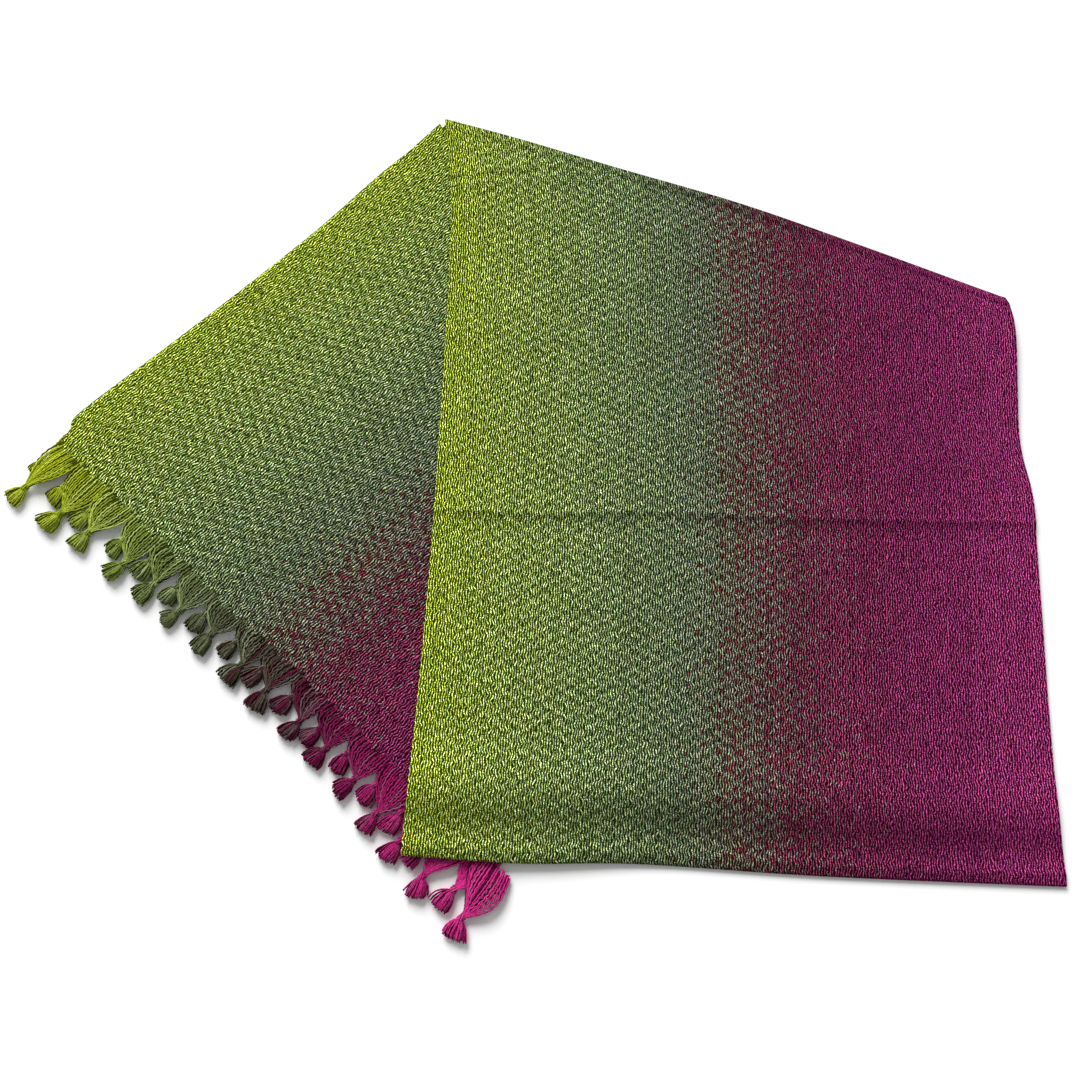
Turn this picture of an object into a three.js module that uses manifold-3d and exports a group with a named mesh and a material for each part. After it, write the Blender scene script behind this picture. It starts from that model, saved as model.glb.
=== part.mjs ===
// A handwoven scarf with knotted tassels, folded in half across its length, folded again along a
// slanting line and laid flat. Millimetres, +Z up, and the cloth rests on Z = 0.
//
// Seen from above, the front panel is the doubled cloth that the slanting fold turns over. It lies on
// the back panel, whose fringed end points to the lower left. From the top down the layers are
// the front panel, the cloth below it, the back panel, and the cloth at the bottom.

import * as THREE from "three";
import { mergeVertices } from "three/addons/utils/BufferGeometryUtils.js";
import Module from "manifold-3d";

const wasm = await Module();
wasm.setup();

// Cloth

const CLOTH = 1.8; // thickness of one layer
const SEAM = 0.3; // gap between two layers, and between two pieces
const LAYER = CLOTH + SEAM;
const BACK_OVER = LAYER; // underside of the back panel
const FRONT_REST = 2 * LAYER; // underside of the front fold where it lies on the back panel
const PAIR = 2 * CLOTH + SEAM; // two layers with their gap
const STACK = 2 * PAIR + SEAM; // four layers with their gaps

// Outline of the front panel, from above. The half fold is its lower edge.

const halfFold = [
  { x: -106, y: -342 },
  { x: -5, y: -348 },
  { x: 98, y: -348 },
  { x: 252, y: -358 },
  { x: 461, y: -367 },
];
const slantFold = [
  { x: -84, y: 404 },
  { x: -8, y: 380 },
  { x: 93, y: 345 },
  { x: 213, y: 304 },
  { x: 330, y: 256 },
  { x: 444, y: 207 },
  { x: 466, y: 198 },
];
const frontLimeEdge = [
  { x: -106, y: -342 },
  { x: -90, y: -110 },
  { x: -81, y: 90 },
  { x: -76, y: 290 },
  { x: -84, y: 404 },
];
const frontMagentaEdge = [
  { x: 461, y: -367 },
  { x: 461, y: -270 },
  { x: 468, y: -90 },
  { x: 471, y: -12 },
  { x: 465, y: 50 },
  { x: 472, y: 160 },
  { x: 466, y: 198 },
];

// Outline of the back panel. The woven end is where its fringe starts.

const backLimeEdge = [
  { x: -443, y: 50 },
  { x: -419, y: 78 },
  { x: -348, y: 142 },
  { x: -276, y: 208 },
  { x: -205, y: 276 },
  { x: -139, y: 346 },
  { x: -91, y: 401 },
];
const wovenEnd = { start: new THREE.Vector2(-443, 50), angle: -43.4, width: 595 };
const hiddenEdge = { top: new THREE.Vector2(474, 195), bottom: new THREE.Vector2(-11, -359) };
const underlap = [
  { x: -90, y: 399 },
  { x: -71, y: 350 },
  { x: -65, y: 198 },
  { x: -72, y: -12 },
  { x: -84, y: -200 },
  { x: -89, y: -279 },
];
const UNDERLAP_TIP = 484; // where the back panel's last column meets the woven end
const LOWER_END_BACK = 10; // the bottom layer ends this far short of the back panel
const LOWER_END_SLIP = -2; // and starts this far along it
const LOWER_PEEK = 2.5; // the bottom layer shows this far past the back panel's lime edge
const LOWER_UNDER = 20; // and runs this far in below the front panel's block

// Folds and creases in the front panel, measured up from the half fold

const FOLD_SWELL = { at: 15, height: 0.7 };
const FOLD_TROUGH = { at: 38, height: -0.5 };
const FOLD_FLAT = 64;
const CREASE = { lime: 315, magenta: 332, half: 12, height: -0.9 };
const DROP_WIDTH = 110; // the front fold slopes this far from the back panel's edge to the surface
const CORNER_LIFT = { height: 5.6, flat: 12, reach: 120 }; // the knots raise the lower left corner
const GROOVE = 6; // depth of the gaps between layers at the slanting fold
const TUCK = 2 * GROOVE; // the inner layer reaches this far back from the slanting fold
const EDGE_INSET = 0.003; // the hidden layers stop this share of the width inside the front panel
const CORE_DEPTH = 0.75; // the block below the front fold reaches this share up its under layer
const SLOT_GAP = 4 * SEAM; // and stays this far from the back panel's underlap
const BEYOND = 400; // cuts reach this far, which is past every piece

// Fringe: a row for each bundle of warp, with its knot along the woven end and out from it, and the
// way its tassel points

const upperBundles = [
  { along: 18, out: 55, points: -137 },
  { along: 62, out: 49, points: -140 },
  { along: 95, out: 44, points: -133 },
  { along: 142, out: 41, points: -142 },
  { along: 176, out: 36, points: -137 },
  { along: 212, out: 37, points: -144 },
  { along: 249, out: 32, points: -132 },
  { along: 290, out: 33, points: -141 },
  { along: 323, out: 34, points: -120 },
  { along: 365, out: 33, points: -133 },
  { along: 399, out: 34, points: -140 },
  { along: 437, out: 36, points: -148 },
  { along: 472, out: 43, points: -128 },
  { along: 504, out: 46, points: -131 },
  { along: 539, out: 53, points: -105 },
  { along: 587, out: 55, points: -118 },
];
const lowerBundles = [
  { along: 14, out: 22, points: -133 },
  { along: 44, out: 29, points: -131 },
  { along: 80, out: 29, points: -138 },
  { along: 124, out: 26, points: -142 },
  { along: 157, out: 22, points: -124 },
  { along: 194, out: 22, points: -132 },
  { along: 231, out: 22, points: -135 },
  { along: 271, out: 21, points: -145 },
  { along: 306, out: 21, points: -143 },
  { along: 344, out: 21, points: -139 },
  { along: 383, out: 24, points: -143 },
  { along: 417, out: 23, points: -128 },
  { along: 454, out: 26, points: -135 },
  { along: 487, out: 28, points: -126 },
  { along: 522, out: 36, points: -141 },
  { along: 566, out: 43, points: -135 },
];
const STRIP = { width: 4, thickness: 1.3 };
const GATHER = { locks: 3, width: 8, neck: 2.4, thickness: 1.5, bow: 0.05 };
const KNOT = { width: 9, height: 8, sides: 6, rings: 3 };
const NECK_BACK = 0.3 * KNOT.width; // the gathered locks end this far up inside the knot
const TASSEL = { locks: 4, length: 22, spread: 60, filled: 0.86, rounding: 0.9 };
const TASSEL_SECTIONS = [
  { reach: 0.11, thickness: 4.4 },
  { reach: 0.65, thickness: 7.4 },
  { reach: 1, thickness: 5.2 },
];
const LOWER_ROW_SHORT = 18; // the lower row ends this far before the upper one
const UPPER_ARCH = 5.8; // height of the upper row's locks halfway to their knots
const CLEARANCE = 0.4; // the fringe stays this far above the surface

// Fineness

const ROLL_STEPS = 4; // round each fold
const COLUMNS = 17; // across the front panel
const ROWS = { belowCrease: 4, aboveCrease: 5 }; // up the front panel
const BACK_GRID = { columns: 14, rows: 10 };
const EDGE_STEPS = 12; // along the outlines that cut the hidden layers

// Geometry helpers

const degrees = THREE.MathUtils.degToRad;
const mix = THREE.MathUtils.lerp;
const curve = (rows) => new THREE.SplineCurve(rows.map((r) => new THREE.Vector2(r.x, r.y)));
const straight = (from, to) => new THREE.LineCurve(from, to);

/** A sheet's plan between four edges: a runs across the cloth and b along its warp. */
function patch(near, far, first, last) {
  const corner = [near.getPointAt(0), near.getPointAt(1), far.getPointAt(0), far.getPointAt(1)];
  return (a, b) => {
    const point = new THREE.Vector2();
    const add = (p, share) => point.addScaledVector(p, share);
    add(near.getPointAt(a), 1 - b);
    add(far.getPointAt(a), b);
    add(first.getPointAt(b), 1 - a);
    add(last.getPointAt(b), a);
    add(corner[0], -(1 - a) * (1 - b));
    add(corner[1], -a * (1 - b));
    add(corner[2], -(1 - a) * b);
    add(corner[3], -a * b);
    return point;
  };
}

/**
 * A closed body through sections that are loops of equally many points, with flat ends. Past the
 * point where a wall's loop turns back, quads are split the other way, so both faces match.
 */
function loft(sections, caps, turnsBack = Infinity) {
  const count = sections[0].length;
  const last = (sections.length - 1) * count;
  const index = [];
  for (let s = 0; s + 1 < sections.length; s++) {
    for (let k = 0; k < count; k++) {
      const a = s * count + k;
      const b = s * count + ((k + 1) % count);
      if (k < turnsBack) {
        index.push(a, b, b + count, a, b + count, a + count);
      } else {
        index.push(a, b, a + count, b, b + count, a + count);
      }
    }
  }
  for (const [a, b, c] of caps) {
    index.push(a, c, b, last + a, last + b, last + c);
  }
  const geometry = new THREE.BufferGeometry();
  const numbers = sections.flat().flatMap((p) => [p.x, p.y, p.z]);
  geometry.setAttribute("position", new THREE.Float32BufferAttribute(numbers, 3));
  geometry.setIndex(volume(numbers, index) < 0 ? index.reverse() : index);
  return geometry;
}

/** Six times the volume that triangles enclose, negative when they face inwards. */
function volume(numbers, index) {
  let sum = 0;
  for (let i = 0; i < index.length; i += 3) {
    const [p, q, r] = [0, 1, 2].map((k) => new THREE.Vector3().fromArray(numbers, 3 * index[i + k]));
    sum += p.dot(q.cross(r));
  }
  return sum;
}

/** A wall through sections that run along its outer face and back along its inner one. */
function wall(sections) {
  const pairs = sections[0].length / 2;
  const caps = [];
  const end = 2 * pairs - 1;
  for (let k = 0; k + 1 < pairs; k++) {
    caps.push([k, k + 1, end - k], [k + 1, end - k - 1, end - k]);
  }
  return loft(sections, caps, pairs);
}

/** The end of a convex ring. */
function ringCap(sides) {
  return Array.from({ length: sides - 2 }, (_, k) => [0, k + 1, k + 2]);
}

function toSolid(geometry) {
  const plain = geometry.clone();
  plain.deleteAttribute("normal");
  plain.deleteAttribute("uv");
  const merged = mergeVertices(plain, 1e-4);
  const mesh = new wasm.Mesh({
    numProp: 3,
    vertProperties: new Float32Array(merged.attributes.position.array),
    triVerts: new Uint32Array(merged.index.array),
  });
  return new wasm.Manifold(mesh);
}

function toGeometry(solid) {
  const mesh = solid.getMesh();
  const geometry = new THREE.BufferGeometry();
  geometry.setAttribute("position", new THREE.BufferAttribute(mesh.vertProperties, 3));
  geometry.setIndex(new THREE.BufferAttribute(mesh.triVerts, 1));
  return geometry;
}

/** An upright block over a plan outline, from one height to another. */
function prism(points, low, high) {
  const shape = new THREE.Shape(points);
  const geometry = new THREE.ExtrudeGeometry(shape, { depth: high - low, bevelEnabled: false });
  geometry.translate(0, 0, low);
  return toSolid(geometry);
}

// The front fold: its plan and its heights

const frontPlan = patch(
  curve(halfFold),
  curve(slantFold),
  curve(frontLimeEdge),
  curve(frontMagentaEdge),
);
const warpLength = (a) => frontPlan(a, 0).distanceTo(frontPlan(a, 1));

/** How high the front fold's underside lies above the surface. */
function restHeight(point) {
  const along = hiddenEdge.bottom.clone().sub(hiddenEdge.top).normalize();
  const away = point.clone().sub(hiddenEdge.top).cross(along) * -1;
  const onBack = FRONT_REST * (1 - THREE.MathUtils.smoothstep(away, 0, DROP_WIDTH));
  const corner = new THREE.Vector2(halfFold[0].x, halfFold[0].y);
  const far = THREE.MathUtils.smoothstep(
    point.distanceTo(corner),
    CORNER_LIFT.flat,
    CORNER_LIFT.reach,
  );
  return onBack + CORNER_LIFT.height * (1 - far);
}

/** The swell and trough beside the half fold, and the crease across the panel. */
function relief(a, v) {
  const ridge = (at, half, height) => Math.max(0, 1 - Math.abs(v - at) / half) * height;
  return (
    ridge(FOLD_SWELL.at, FOLD_SWELL.at, FOLD_SWELL.height) +
    ridge(FOLD_TROUGH.at, FOLD_FLAT - FOLD_TROUGH.at, FOLD_TROUGH.height) +
    ridge(mix(CREASE.lime, CREASE.magenta, a), CREASE.half, CREASE.height)
  );
}

/** Places up one warp thread where the front fold's lattice has a row. */
function stations(a) {
  const length = warpLength(a);
  const crease = mix(CREASE.lime, CREASE.magenta, a);
  const rows = [FOLD_SWELL.at, FOLD_TROUGH.at, FOLD_FLAT];
  for (let k = 1; k < ROWS.belowCrease; k++) {
    rows.push(mix(FOLD_FLAT, crease - CREASE.half, k / ROWS.belowCrease));
  }
  rows.push(crease - CREASE.half, crease, crease + CREASE.half);
  for (let k = 1; k < ROWS.aboveCrease; k++) {
    rows.push(mix(crease + CREASE.half, length - STACK, k / ROWS.aboveCrease));
  }
  return rows;
}

function frontPoint(a, v, z) {
  const plan = frontPlan(a, v / warpLength(a));
  return new THREE.Vector3(plan.x, plan.y, z);
}

function frontRest(a, v) {
  return restHeight(frontPlan(a, v / warpLength(a)));
}

/** Points on a half circle in a warp thread's upright plane, from its low end to its high end. */
function halfCircle(centre, radius, side) {
  return Array.from({ length: ROLL_STEPS + 1 }, (_, k) => {
    const turn = degrees(-90 + (180 * k) / ROLL_STEPS);
    return { v: centre.v + side * radius * Math.cos(turn), z: centre.z + radius * Math.sin(turn) };
  });
}

const columnsBetween = (from, to) =>
  Array.from({ length: COLUMNS + 1 }, (_, k) => mix(from, to, k / COLUMNS));

/** The front panel: the top layer, with both folds rolled round the layers below. */
function frontPanel() {
  const sections = columnsBetween(0, 1).map((a) => {
    const length = warpLength(a);
    const half = { v: PAIR / 2, z: frontRest(a, 0) + PAIR / 2 };
    const slant = { v: length - STACK / 2, z: STACK / 2 };
    const flat = stations(a).map((v) => ({ v, z: frontRest(a, v) + PAIR + relief(a, v) }));
    const outer = [
      ...halfCircle(half, PAIR / 2, -1),
      ...flat,
      ...halfCircle(slant, STACK / 2, 1).reverse(),
    ];
    const inner = [
      ...halfCircle(half, SEAM / 2, -1),
      ...flat.map((p) => ({ v: p.v, z: p.z - CLOTH })),
      ...halfCircle(slant, STACK / 2 - CLOTH, 1).reverse(),
    ];
    return [...outer, ...inner.reverse()].map((p) => frontPoint(a, p.v, p.z));
  });
  return wall(sections);
}

/** The layer below the front panel, rolled back inside the slanting fold. */
function frontUnderLayer() {
  const sections = columnsBetween(EDGE_INSET, 1 - EDGE_INSET).map((a) => {
    const end = warpLength(a) - STACK / 2;
    const rows = [PAIR / 2 + SEAM, ...stations(a)];
    const centre = { v: end, z: STACK / 2 };
    const outer = [
      ...rows.map((v) => ({ v, z: frontRest(a, v) + CLOTH + relief(a, v) })),
      ...halfCircle(centre, PAIR / 2, 1).reverse(),
      { v: end - TUCK, z: BACK_OVER },
    ];
    const inner = [
      ...rows.map((v) => ({ v, z: frontRest(a, v) })),
      ...halfCircle(centre, SEAM / 2, 1).reverse(),
      { v: end - TUCK, z: BACK_OVER + CLOTH },
    ];
    return [...outer, ...inner.reverse()].map((p) => frontPoint(a, p.v, p.z));
  });
  return toSolid(wall(sections));
}

/** A block under the front fold, from the surface up to a height for each row of its lattice. */
function frontBlock(rowsOf, heightOf) {
  const sections = columnsBetween(EDGE_INSET, 1 - EDGE_INSET).map((a) => {
    const rows = rowsOf(a);
    const top = rows.map((v) => frontPoint(a, v, heightOf(a, v)));
    const bottom = rows.map((v) => frontPoint(a, v, 0));
    return [...top, ...bottom.reverse()];
  });
  return toSolid(wall(sections));
}

/** All that lies between the surface and the front fold, as if the layers there were one. */
function frontCore() {
  const fold = (a) => warpLength(a) - STACK / 2;
  const deep = frontBlock(
    (a) => [PAIR / 2 + 2 * SEAM, ...stations(a).slice(0, -1), fold(a) - GROOVE],
    (a, v) => frontRest(a, v) + CORE_DEPTH * CLOTH + Math.min(0, relief(a, v)),
  );
  const bottomLayer = frontBlock(
    (a) => [fold(a) - TUCK, fold(a) - SEAM],
    () => CLOTH,
  );
  return deep.add(bottomLayer);
}

// The woven end's own directions: along it, and out from it down the fringe

const alongEnd = new THREE.Vector2(1, 0).rotateAround(new THREE.Vector2(), degrees(wovenEnd.angle));
const outFromEnd = new THREE.Vector2(alongEnd.y, -alongEnd.x);

function endPoint(along, out) {
  return wovenEnd.start.clone().addScaledVector(alongEnd, along).addScaledVector(outFromEnd, out);
}

/** The back panel: the stretch of cloth that shows beside the front one. */
function backPanel() {
  const tip = endPoint(UNDERLAP_TIP, 0);
  const far = curve(underlap);
  const limeEdge = curve([...backLimeEdge.slice(0, -1), underlap[0]]);
  const plan = patch(straight(endPoint(0, 0), tip), far, limeEdge, straight(tip, far.getPointAt(1)));
  const { columns, rows } = BACK_GRID;
  const sections = Array.from({ length: columns + 1 }, (_, c) => {
    const level = (z) =>
      Array.from({ length: rows + 1 }, (_, r) => {
        const p = plan(c / columns, r / rows);
        return new THREE.Vector3(p.x, p.y, z);
      });
    return [...level(BACK_OVER + CLOTH), ...level(BACK_OVER).reverse()];
  });
  return wall(sections);
}

/** A rectangle that starts at a line beside the woven end and holds all that lies past it. */
function pastEnd(out) {
  const reach = wovenEnd.width + BEYOND;
  return [endPoint(0, out), endPoint(reach, out), endPoint(reach, BEYOND), endPoint(0, BEYOND)];
}

/** Where the back panel lies in the block below the front fold, with a gap round it. */
function backSlot() {
  const edge = curve(underlap)
    .getPoints(EDGE_STEPS)
    .map((p) => new THREE.Vector2(p.x + SLOT_GAP, p.y));
  return [
    ...edge,
    endPoint(UNDERLAP_TIP + SLOT_GAP, -SEAM),
    endPoint(UNDERLAP_TIP, BEYOND),
    endPoint(0, BEYOND),
    new THREE.Vector2(edge[0].x - BEYOND, edge[0].y),
  ];
}

/** The bottom layer beside the front fold: just past the back panel's edge, then in below the block. */
function bottomOutline() {
  const peek = curve(backLimeEdge)
    .getPoints(EDGE_STEPS)
    .map((p) => new THREE.Vector2(p.x - LOWER_PEEK, p.y + LOWER_PEEK));
  const under = curve(underlap)
    .getPoints(EDGE_STEPS)
    .map((p) => new THREE.Vector2(p.x + LOWER_UNDER, p.y - LOWER_UNDER));
  const apex = new THREE.Vector2(underlap[0].x + LOWER_PEEK, underlap[0].y + LOWER_PEEK);
  return [
    endPoint(LOWER_END_SLIP, -LOWER_END_BACK),
    ...peek.slice(2),
    apex,
    ...under.slice(1, -2),
    endPoint(UNDERLAP_TIP, -LOWER_END_BACK),
  ];
}

/** The hidden layers: the cloth under the front panel and the bottom layer, flat where they rest. */
function hiddenLayers() {
  const core = frontCore()
    .subtract(prism(backSlot(), CLOTH, BEYOND))
    .subtract(prism(pastEnd(0), -BEYOND, BEYOND))
    .subtract(prism(pastEnd(-LOWER_END_BACK), -BEYOND, BACK_OVER));
  return toGeometry(core.add(frontUnderLayer()).add(prism(bottomOutline(), 0, CLOTH)));
}

// Fringe

/** A lock through rows of { at, width, thickness }: a flat-topped bar, or a ridge of three sides. */
function lock(rows, sides) {
  const up = new THREE.Vector3(0, 0, 1);
  const section =
    sides === 4 ? { first: 135, radius: Math.SQRT1_2 } : { first: 90, radius: 0.5 };
  const rings = rows.map((row, i) => {
    const before = rows[Math.max(0, i - 1)].at;
    const after = rows[Math.min(rows.length - 1, i + 1)].at;
    const ahead = after.clone().sub(before).normalize();
    const across = new THREE.Vector3().crossVectors(ahead, up).normalize();
    const over = new THREE.Vector3().crossVectors(across, ahead);
    return Array.from({ length: sides }, (_, k) => {
      const turn = degrees(section.first + (360 * k) / sides);
      return row.at
        .clone()
        .addScaledVector(across, row.width * section.radius * Math.cos(turn))
        .addScaledVector(over, row.thickness * section.radius * Math.sin(turn));
    });
  });
  return toSolid(loft(rings, ringCap(sides)));
}

/** Locks drawn together from the strip to the knot, with a bend or two on their way. */
function gatheredLocks(row, root, z) {
  const raised = (along, out, height) => {
    const plan = endPoint(along, out);
    return new THREE.Vector3(plan.x, plan.y, height);
  };
  const neckOut = row.out - NECK_BACK;
  return Array.from({ length: GATHER.locks }, (_, k) => {
    const side = k - (GATHER.locks - 1) / 2;
    const from = root.at + side * root.pitch;
    const to = row.along + side * GATHER.neck;
    const bow = side * root.pitch * GATHER.bow;
    const path = [
      { at: raised(from, root.out, z.strip), width: GATHER.width },
      ...root.bends.map(({ share, height }) => ({
        at: raised(mix(from, to, share) + bow, mix(root.out, neckOut, share), height),
        width: mix(GATHER.width, GATHER.neck, share * share),
      })),
      { at: raised(to, neckOut, z.knot), width: GATHER.neck * TASSEL.filled },
    ];
    return lock(path.map((p) => ({ ...p, thickness: GATHER.thickness })), 3);
  });
}

function knotAt(place) {
  const knot = new THREE.SphereGeometry(KNOT.width / 2, KNOT.sides, KNOT.rings);
  knot.rotateX(Math.PI / 2);
  knot.scale(1, 1, KNOT.height / KNOT.width);
  knot.translate(place.x, place.y, place.z);
  return toSolid(knot);
}

/** The tassel's locks, wedges that fan out from the knot. */
function tasselLocks(place, points) {
  const turn = TASSEL.spread / TASSEL.locks;
  const widening = 2 * Math.tan(degrees(turn / 2)) * TASSEL.filled;
  return Array.from({ length: TASSEL.locks }, (_, k) => {
    const side = k - (TASSEL.locks - 1) / 2;
    const heading = degrees(points + side * turn);
    const away = new THREE.Vector3(Math.cos(heading), Math.sin(heading), 0);
    const tip = TASSEL.length - TASSEL.rounding * side * side;
    const rows = TASSEL_SECTIONS.map(({ reach, thickness }) => ({
      at: place.clone().addScaledVector(away, tip * reach),
      width: widening * tip * reach,
      thickness,
    }));
    return lock(rows, 4);
  });
}

/** One bundle of warp: its gathered locks, the knot that ties them, and the tassel below it. */
function bundle(row, root, z) {
  const plan = endPoint(row.along, row.out);
  const place = new THREE.Vector3(plan.x, plan.y, z.knot);
  return [...gatheredLocks(row, root, z), knotAt(place), ...tasselLocks(place, row.points)];
}

/** A row of bundles on a strip that is parted from the cloth's end. */
function fringe(bundles, end, z) {
  const strip = prism(
    [
      endPoint(end.from, end.out + SEAM),
      endPoint(end.to, end.out + SEAM),
      endPoint(end.to, end.out + SEAM + STRIP.width),
      endPoint(end.from, end.out + SEAM + STRIP.width),
    ],
    z.strip - STRIP.thickness / 2,
    z.strip + STRIP.thickness / 2,
  );
  const pitch = (end.to - end.from) / bundles.length;
  return bundles.reduce((whole, row, i) => {
    const root = {
      at: end.from + (i + 0.5) * pitch,
      out: end.out + SEAM + STRIP.width / 2,
      pitch: pitch / GATHER.locks,
      bends: i === 0 ? z.firstBends : z.bends,
    };
    return bundle(row, root, z).reduce((sum, piece) => sum.add(piece), whole);
  }, strip);
}

// Heights in each row of bundles. The upper row's first one passes over the knot below it.

const knotCentre = CLEARANCE + KNOT.height / 2;
const lowBends = [{ share: 0.5, height: CLEARANCE + GATHER.thickness / 2 }];
const overKnot = CLEARANCE + KNOT.height + GATHER.thickness;
const lowZ = {
  strip: CLEARANCE + STRIP.thickness / 2,
  knot: knotCentre,
  bends: lowBends,
  firstBends: lowBends,
};
const highZ = {
  strip: BACK_OVER + CLOTH / 2,
  knot: knotCentre,
  bends: [{ share: 0.5, height: UPPER_ARCH }],
  firstBends: [
    { share: 0.4, height: overKnot },
    { share: 0.8, height: overKnot },
  ],
};
const upperEnd = { from: 0, to: wovenEnd.width, out: 0 };
const lowerEnd = {
  from: LOWER_END_SLIP,
  to: wovenEnd.width - LOWER_ROW_SHORT,
  out: -LOWER_END_BACK,
};

// The scarf

const colours = {
  front_panel: 0x6f8a3a,
  back_panel: 0x7f9b30,
  hidden_layers: 0x7a1f55,
  fringe_upper: 0x8a2f6a,
  fringe_lower: 0x6a7a30,
};

function cloth(name, geometry) {
  const material = new THREE.MeshStandardMaterial({
    color: colours[name],
    roughness: 0.9,
    metalness: 0,
  });
  const mesh = new THREE.Mesh(geometry, material);
  mesh.name = name;
  return mesh;
}

const scarf = new THREE.Group();
scarf.add(cloth("front_panel", frontPanel()));
scarf.add(cloth("back_panel", backPanel()));
scarf.add(cloth("hidden_layers", hiddenLayers()));
scarf.add(cloth("fringe_upper", toGeometry(fringe(upperBundles, upperEnd, highZ))));
scarf.add(cloth("fringe_lower", toGeometry(fringe(lowerBundles, lowerEnd, lowZ))));

// The origin is below the middle of the folded scarf.
const box = new THREE.Box3().setFromObject(scarf);
const middle = box.getCenter(new THREE.Vector3());
scarf.position.set(-middle.x, -middle.y, 0);

export default scarf;
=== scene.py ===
"""A handwoven scarf with knotted tassels, folded in half, folded again on a slant and laid flat.

The frame holds the cloth's solids. Here each layer that shows is a thin woven shell on its solid,
and each bundle of warp at the two woven ends is made strand by strand, with its knot and tassel.
Tables are in millimetres, in the plan of the folded scarf. Meshes are in metres, +Z up.
"""

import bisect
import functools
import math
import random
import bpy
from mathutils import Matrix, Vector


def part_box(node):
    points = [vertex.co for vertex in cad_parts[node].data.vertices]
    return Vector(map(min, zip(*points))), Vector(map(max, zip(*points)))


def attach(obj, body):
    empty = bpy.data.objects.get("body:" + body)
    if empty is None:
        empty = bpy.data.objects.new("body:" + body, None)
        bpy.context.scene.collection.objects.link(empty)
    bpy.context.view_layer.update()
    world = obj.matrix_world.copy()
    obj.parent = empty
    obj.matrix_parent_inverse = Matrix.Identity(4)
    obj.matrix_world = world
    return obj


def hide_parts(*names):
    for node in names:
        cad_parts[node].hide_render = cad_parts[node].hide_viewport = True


bl_info = {
    "name": "Folded fringed scarf",
    "version": (1, 0, 0),
    "blender": (4, 5, 0),
    "location": "View3D > Sidebar > Scarf",
    "description": "Woven layers, fringe and tassels for a scarf that is folded and laid flat",
    "category": "Add Mesh",
}

from collections import namedtuple

import bmesh
import bpy
from bpy.props import FloatProperty, FloatVectorProperty, IntProperty, PointerProperty
from mathutils import Vector, noise

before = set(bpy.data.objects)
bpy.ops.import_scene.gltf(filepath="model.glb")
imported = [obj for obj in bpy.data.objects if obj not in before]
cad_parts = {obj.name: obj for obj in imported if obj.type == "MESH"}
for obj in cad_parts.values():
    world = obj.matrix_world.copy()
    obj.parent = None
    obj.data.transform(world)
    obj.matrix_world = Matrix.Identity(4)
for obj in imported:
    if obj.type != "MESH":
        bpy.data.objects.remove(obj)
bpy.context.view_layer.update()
MM = 0.001

# Outlines of the folded cloth from above, in millimetres

HALF_FOLD = ((-106, -342), (-5, -348), (98, -348), (252, -358), (461, -367))
SLANT_FOLD = ((-84, 404), (-8, 380), (93, 345), (213, 304), (330, 256), (444, 207), (466, 198))
FRONT_LIME_EDGE = ((-106, -342), (-90, -110), (-81, 90), (-76, 290), (-84, 404))
FRONT_MAGENTA_EDGE = (
    (461, -367),
    (461, -270),
    (468, -90),
    (471, -12),
    (465, 50),
    (472, 160),
    (466, 198),
)
BACK_LIME_EDGE = (
    (-443, 50),
    (-419, 78),
    (-348, 142),
    (-276, 208),
    (-205, 276),
    (-139, 346),
    (-91, 401),
)
UNDERLAP = ((-90, 399), (-71, 350), (-65, 198), (-72, -12), (-84, -200), (-89, -279))
UNDERLAP_TIP = 484
WOVEN_END = Vector((-443, 50))
WOVEN_END_ANGLE = -43.4
WOVEN_END_WIDTH = 595
HIDDEN_EDGE_TOP = Vector((474, 195))
HIDDEN_EDGE_BOTTOM = Vector((-11, -359))
HIDDEN_EDGE_INSET = Vector((-12, -5))
LOWER_END_BACK = 10
LOWER_END_SLIP = -2
LOWER_END_WIDTH = 579
LOWER_PEEK = 2.5
DROP_WIDTH = 110

# Layers, worked out from the frame

BACK_LOW, BACK_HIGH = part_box("back_panel")
FRONT_LOW, FRONT_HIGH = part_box("front_panel")
CLOTH = (BACK_HIGH.z - BACK_LOW.z) / MM
LAYER = BACK_LOW.z / MM
SEAM = LAYER - CLOTH
PAIR = CLOTH + LAYER
STACK = 2 * PAIR + SEAM
SHIFT = Vector((FRONT_LOW.x / MM - HALF_FOLD[0][0], FRONT_HIGH.y / MM - SLANT_FOLD[0][1]))
CLOTH_WIDTH = 565
EDGE_INSET = 0.003
TUCK = 60
CORNER_LIFT_HEIGHT = 5.6
CORNER_LIFT_FLAT = 12
CORNER_LIFT_REACH = 120
RIM_ROUND = 0.6
RIM_TURN = 60

# Creases: from one place to another across the cloth and along it, half width, height and bow. One
# with a half width below SHARP has an edge in its middle, where the cloth was pressed. The cloth
# lies LAID_LIFT higher than its plain form on the whole, and at PRESSED it touches the layer below.
# Between creases it swells, with finer swells on them, and beside each fold it keeps a soft roll,
# whose half width differs. The rest fades out towards the folds.

SHARP = 8
CREASE_FADE = 5
LAID_LIFT = 0.5
PRESSED = -0.25
SWELL_LENGTH = 70
FINE_SWELL = 0.4
FINE_SWELLS = 2.7
ROLL_HEIGHT = 1.5
HALF_FOLD_ROLL = 8
SLANT_FOLD_ROLL = 5
FOLD_FADE = 20
UNDER_FADE = 2

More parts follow.
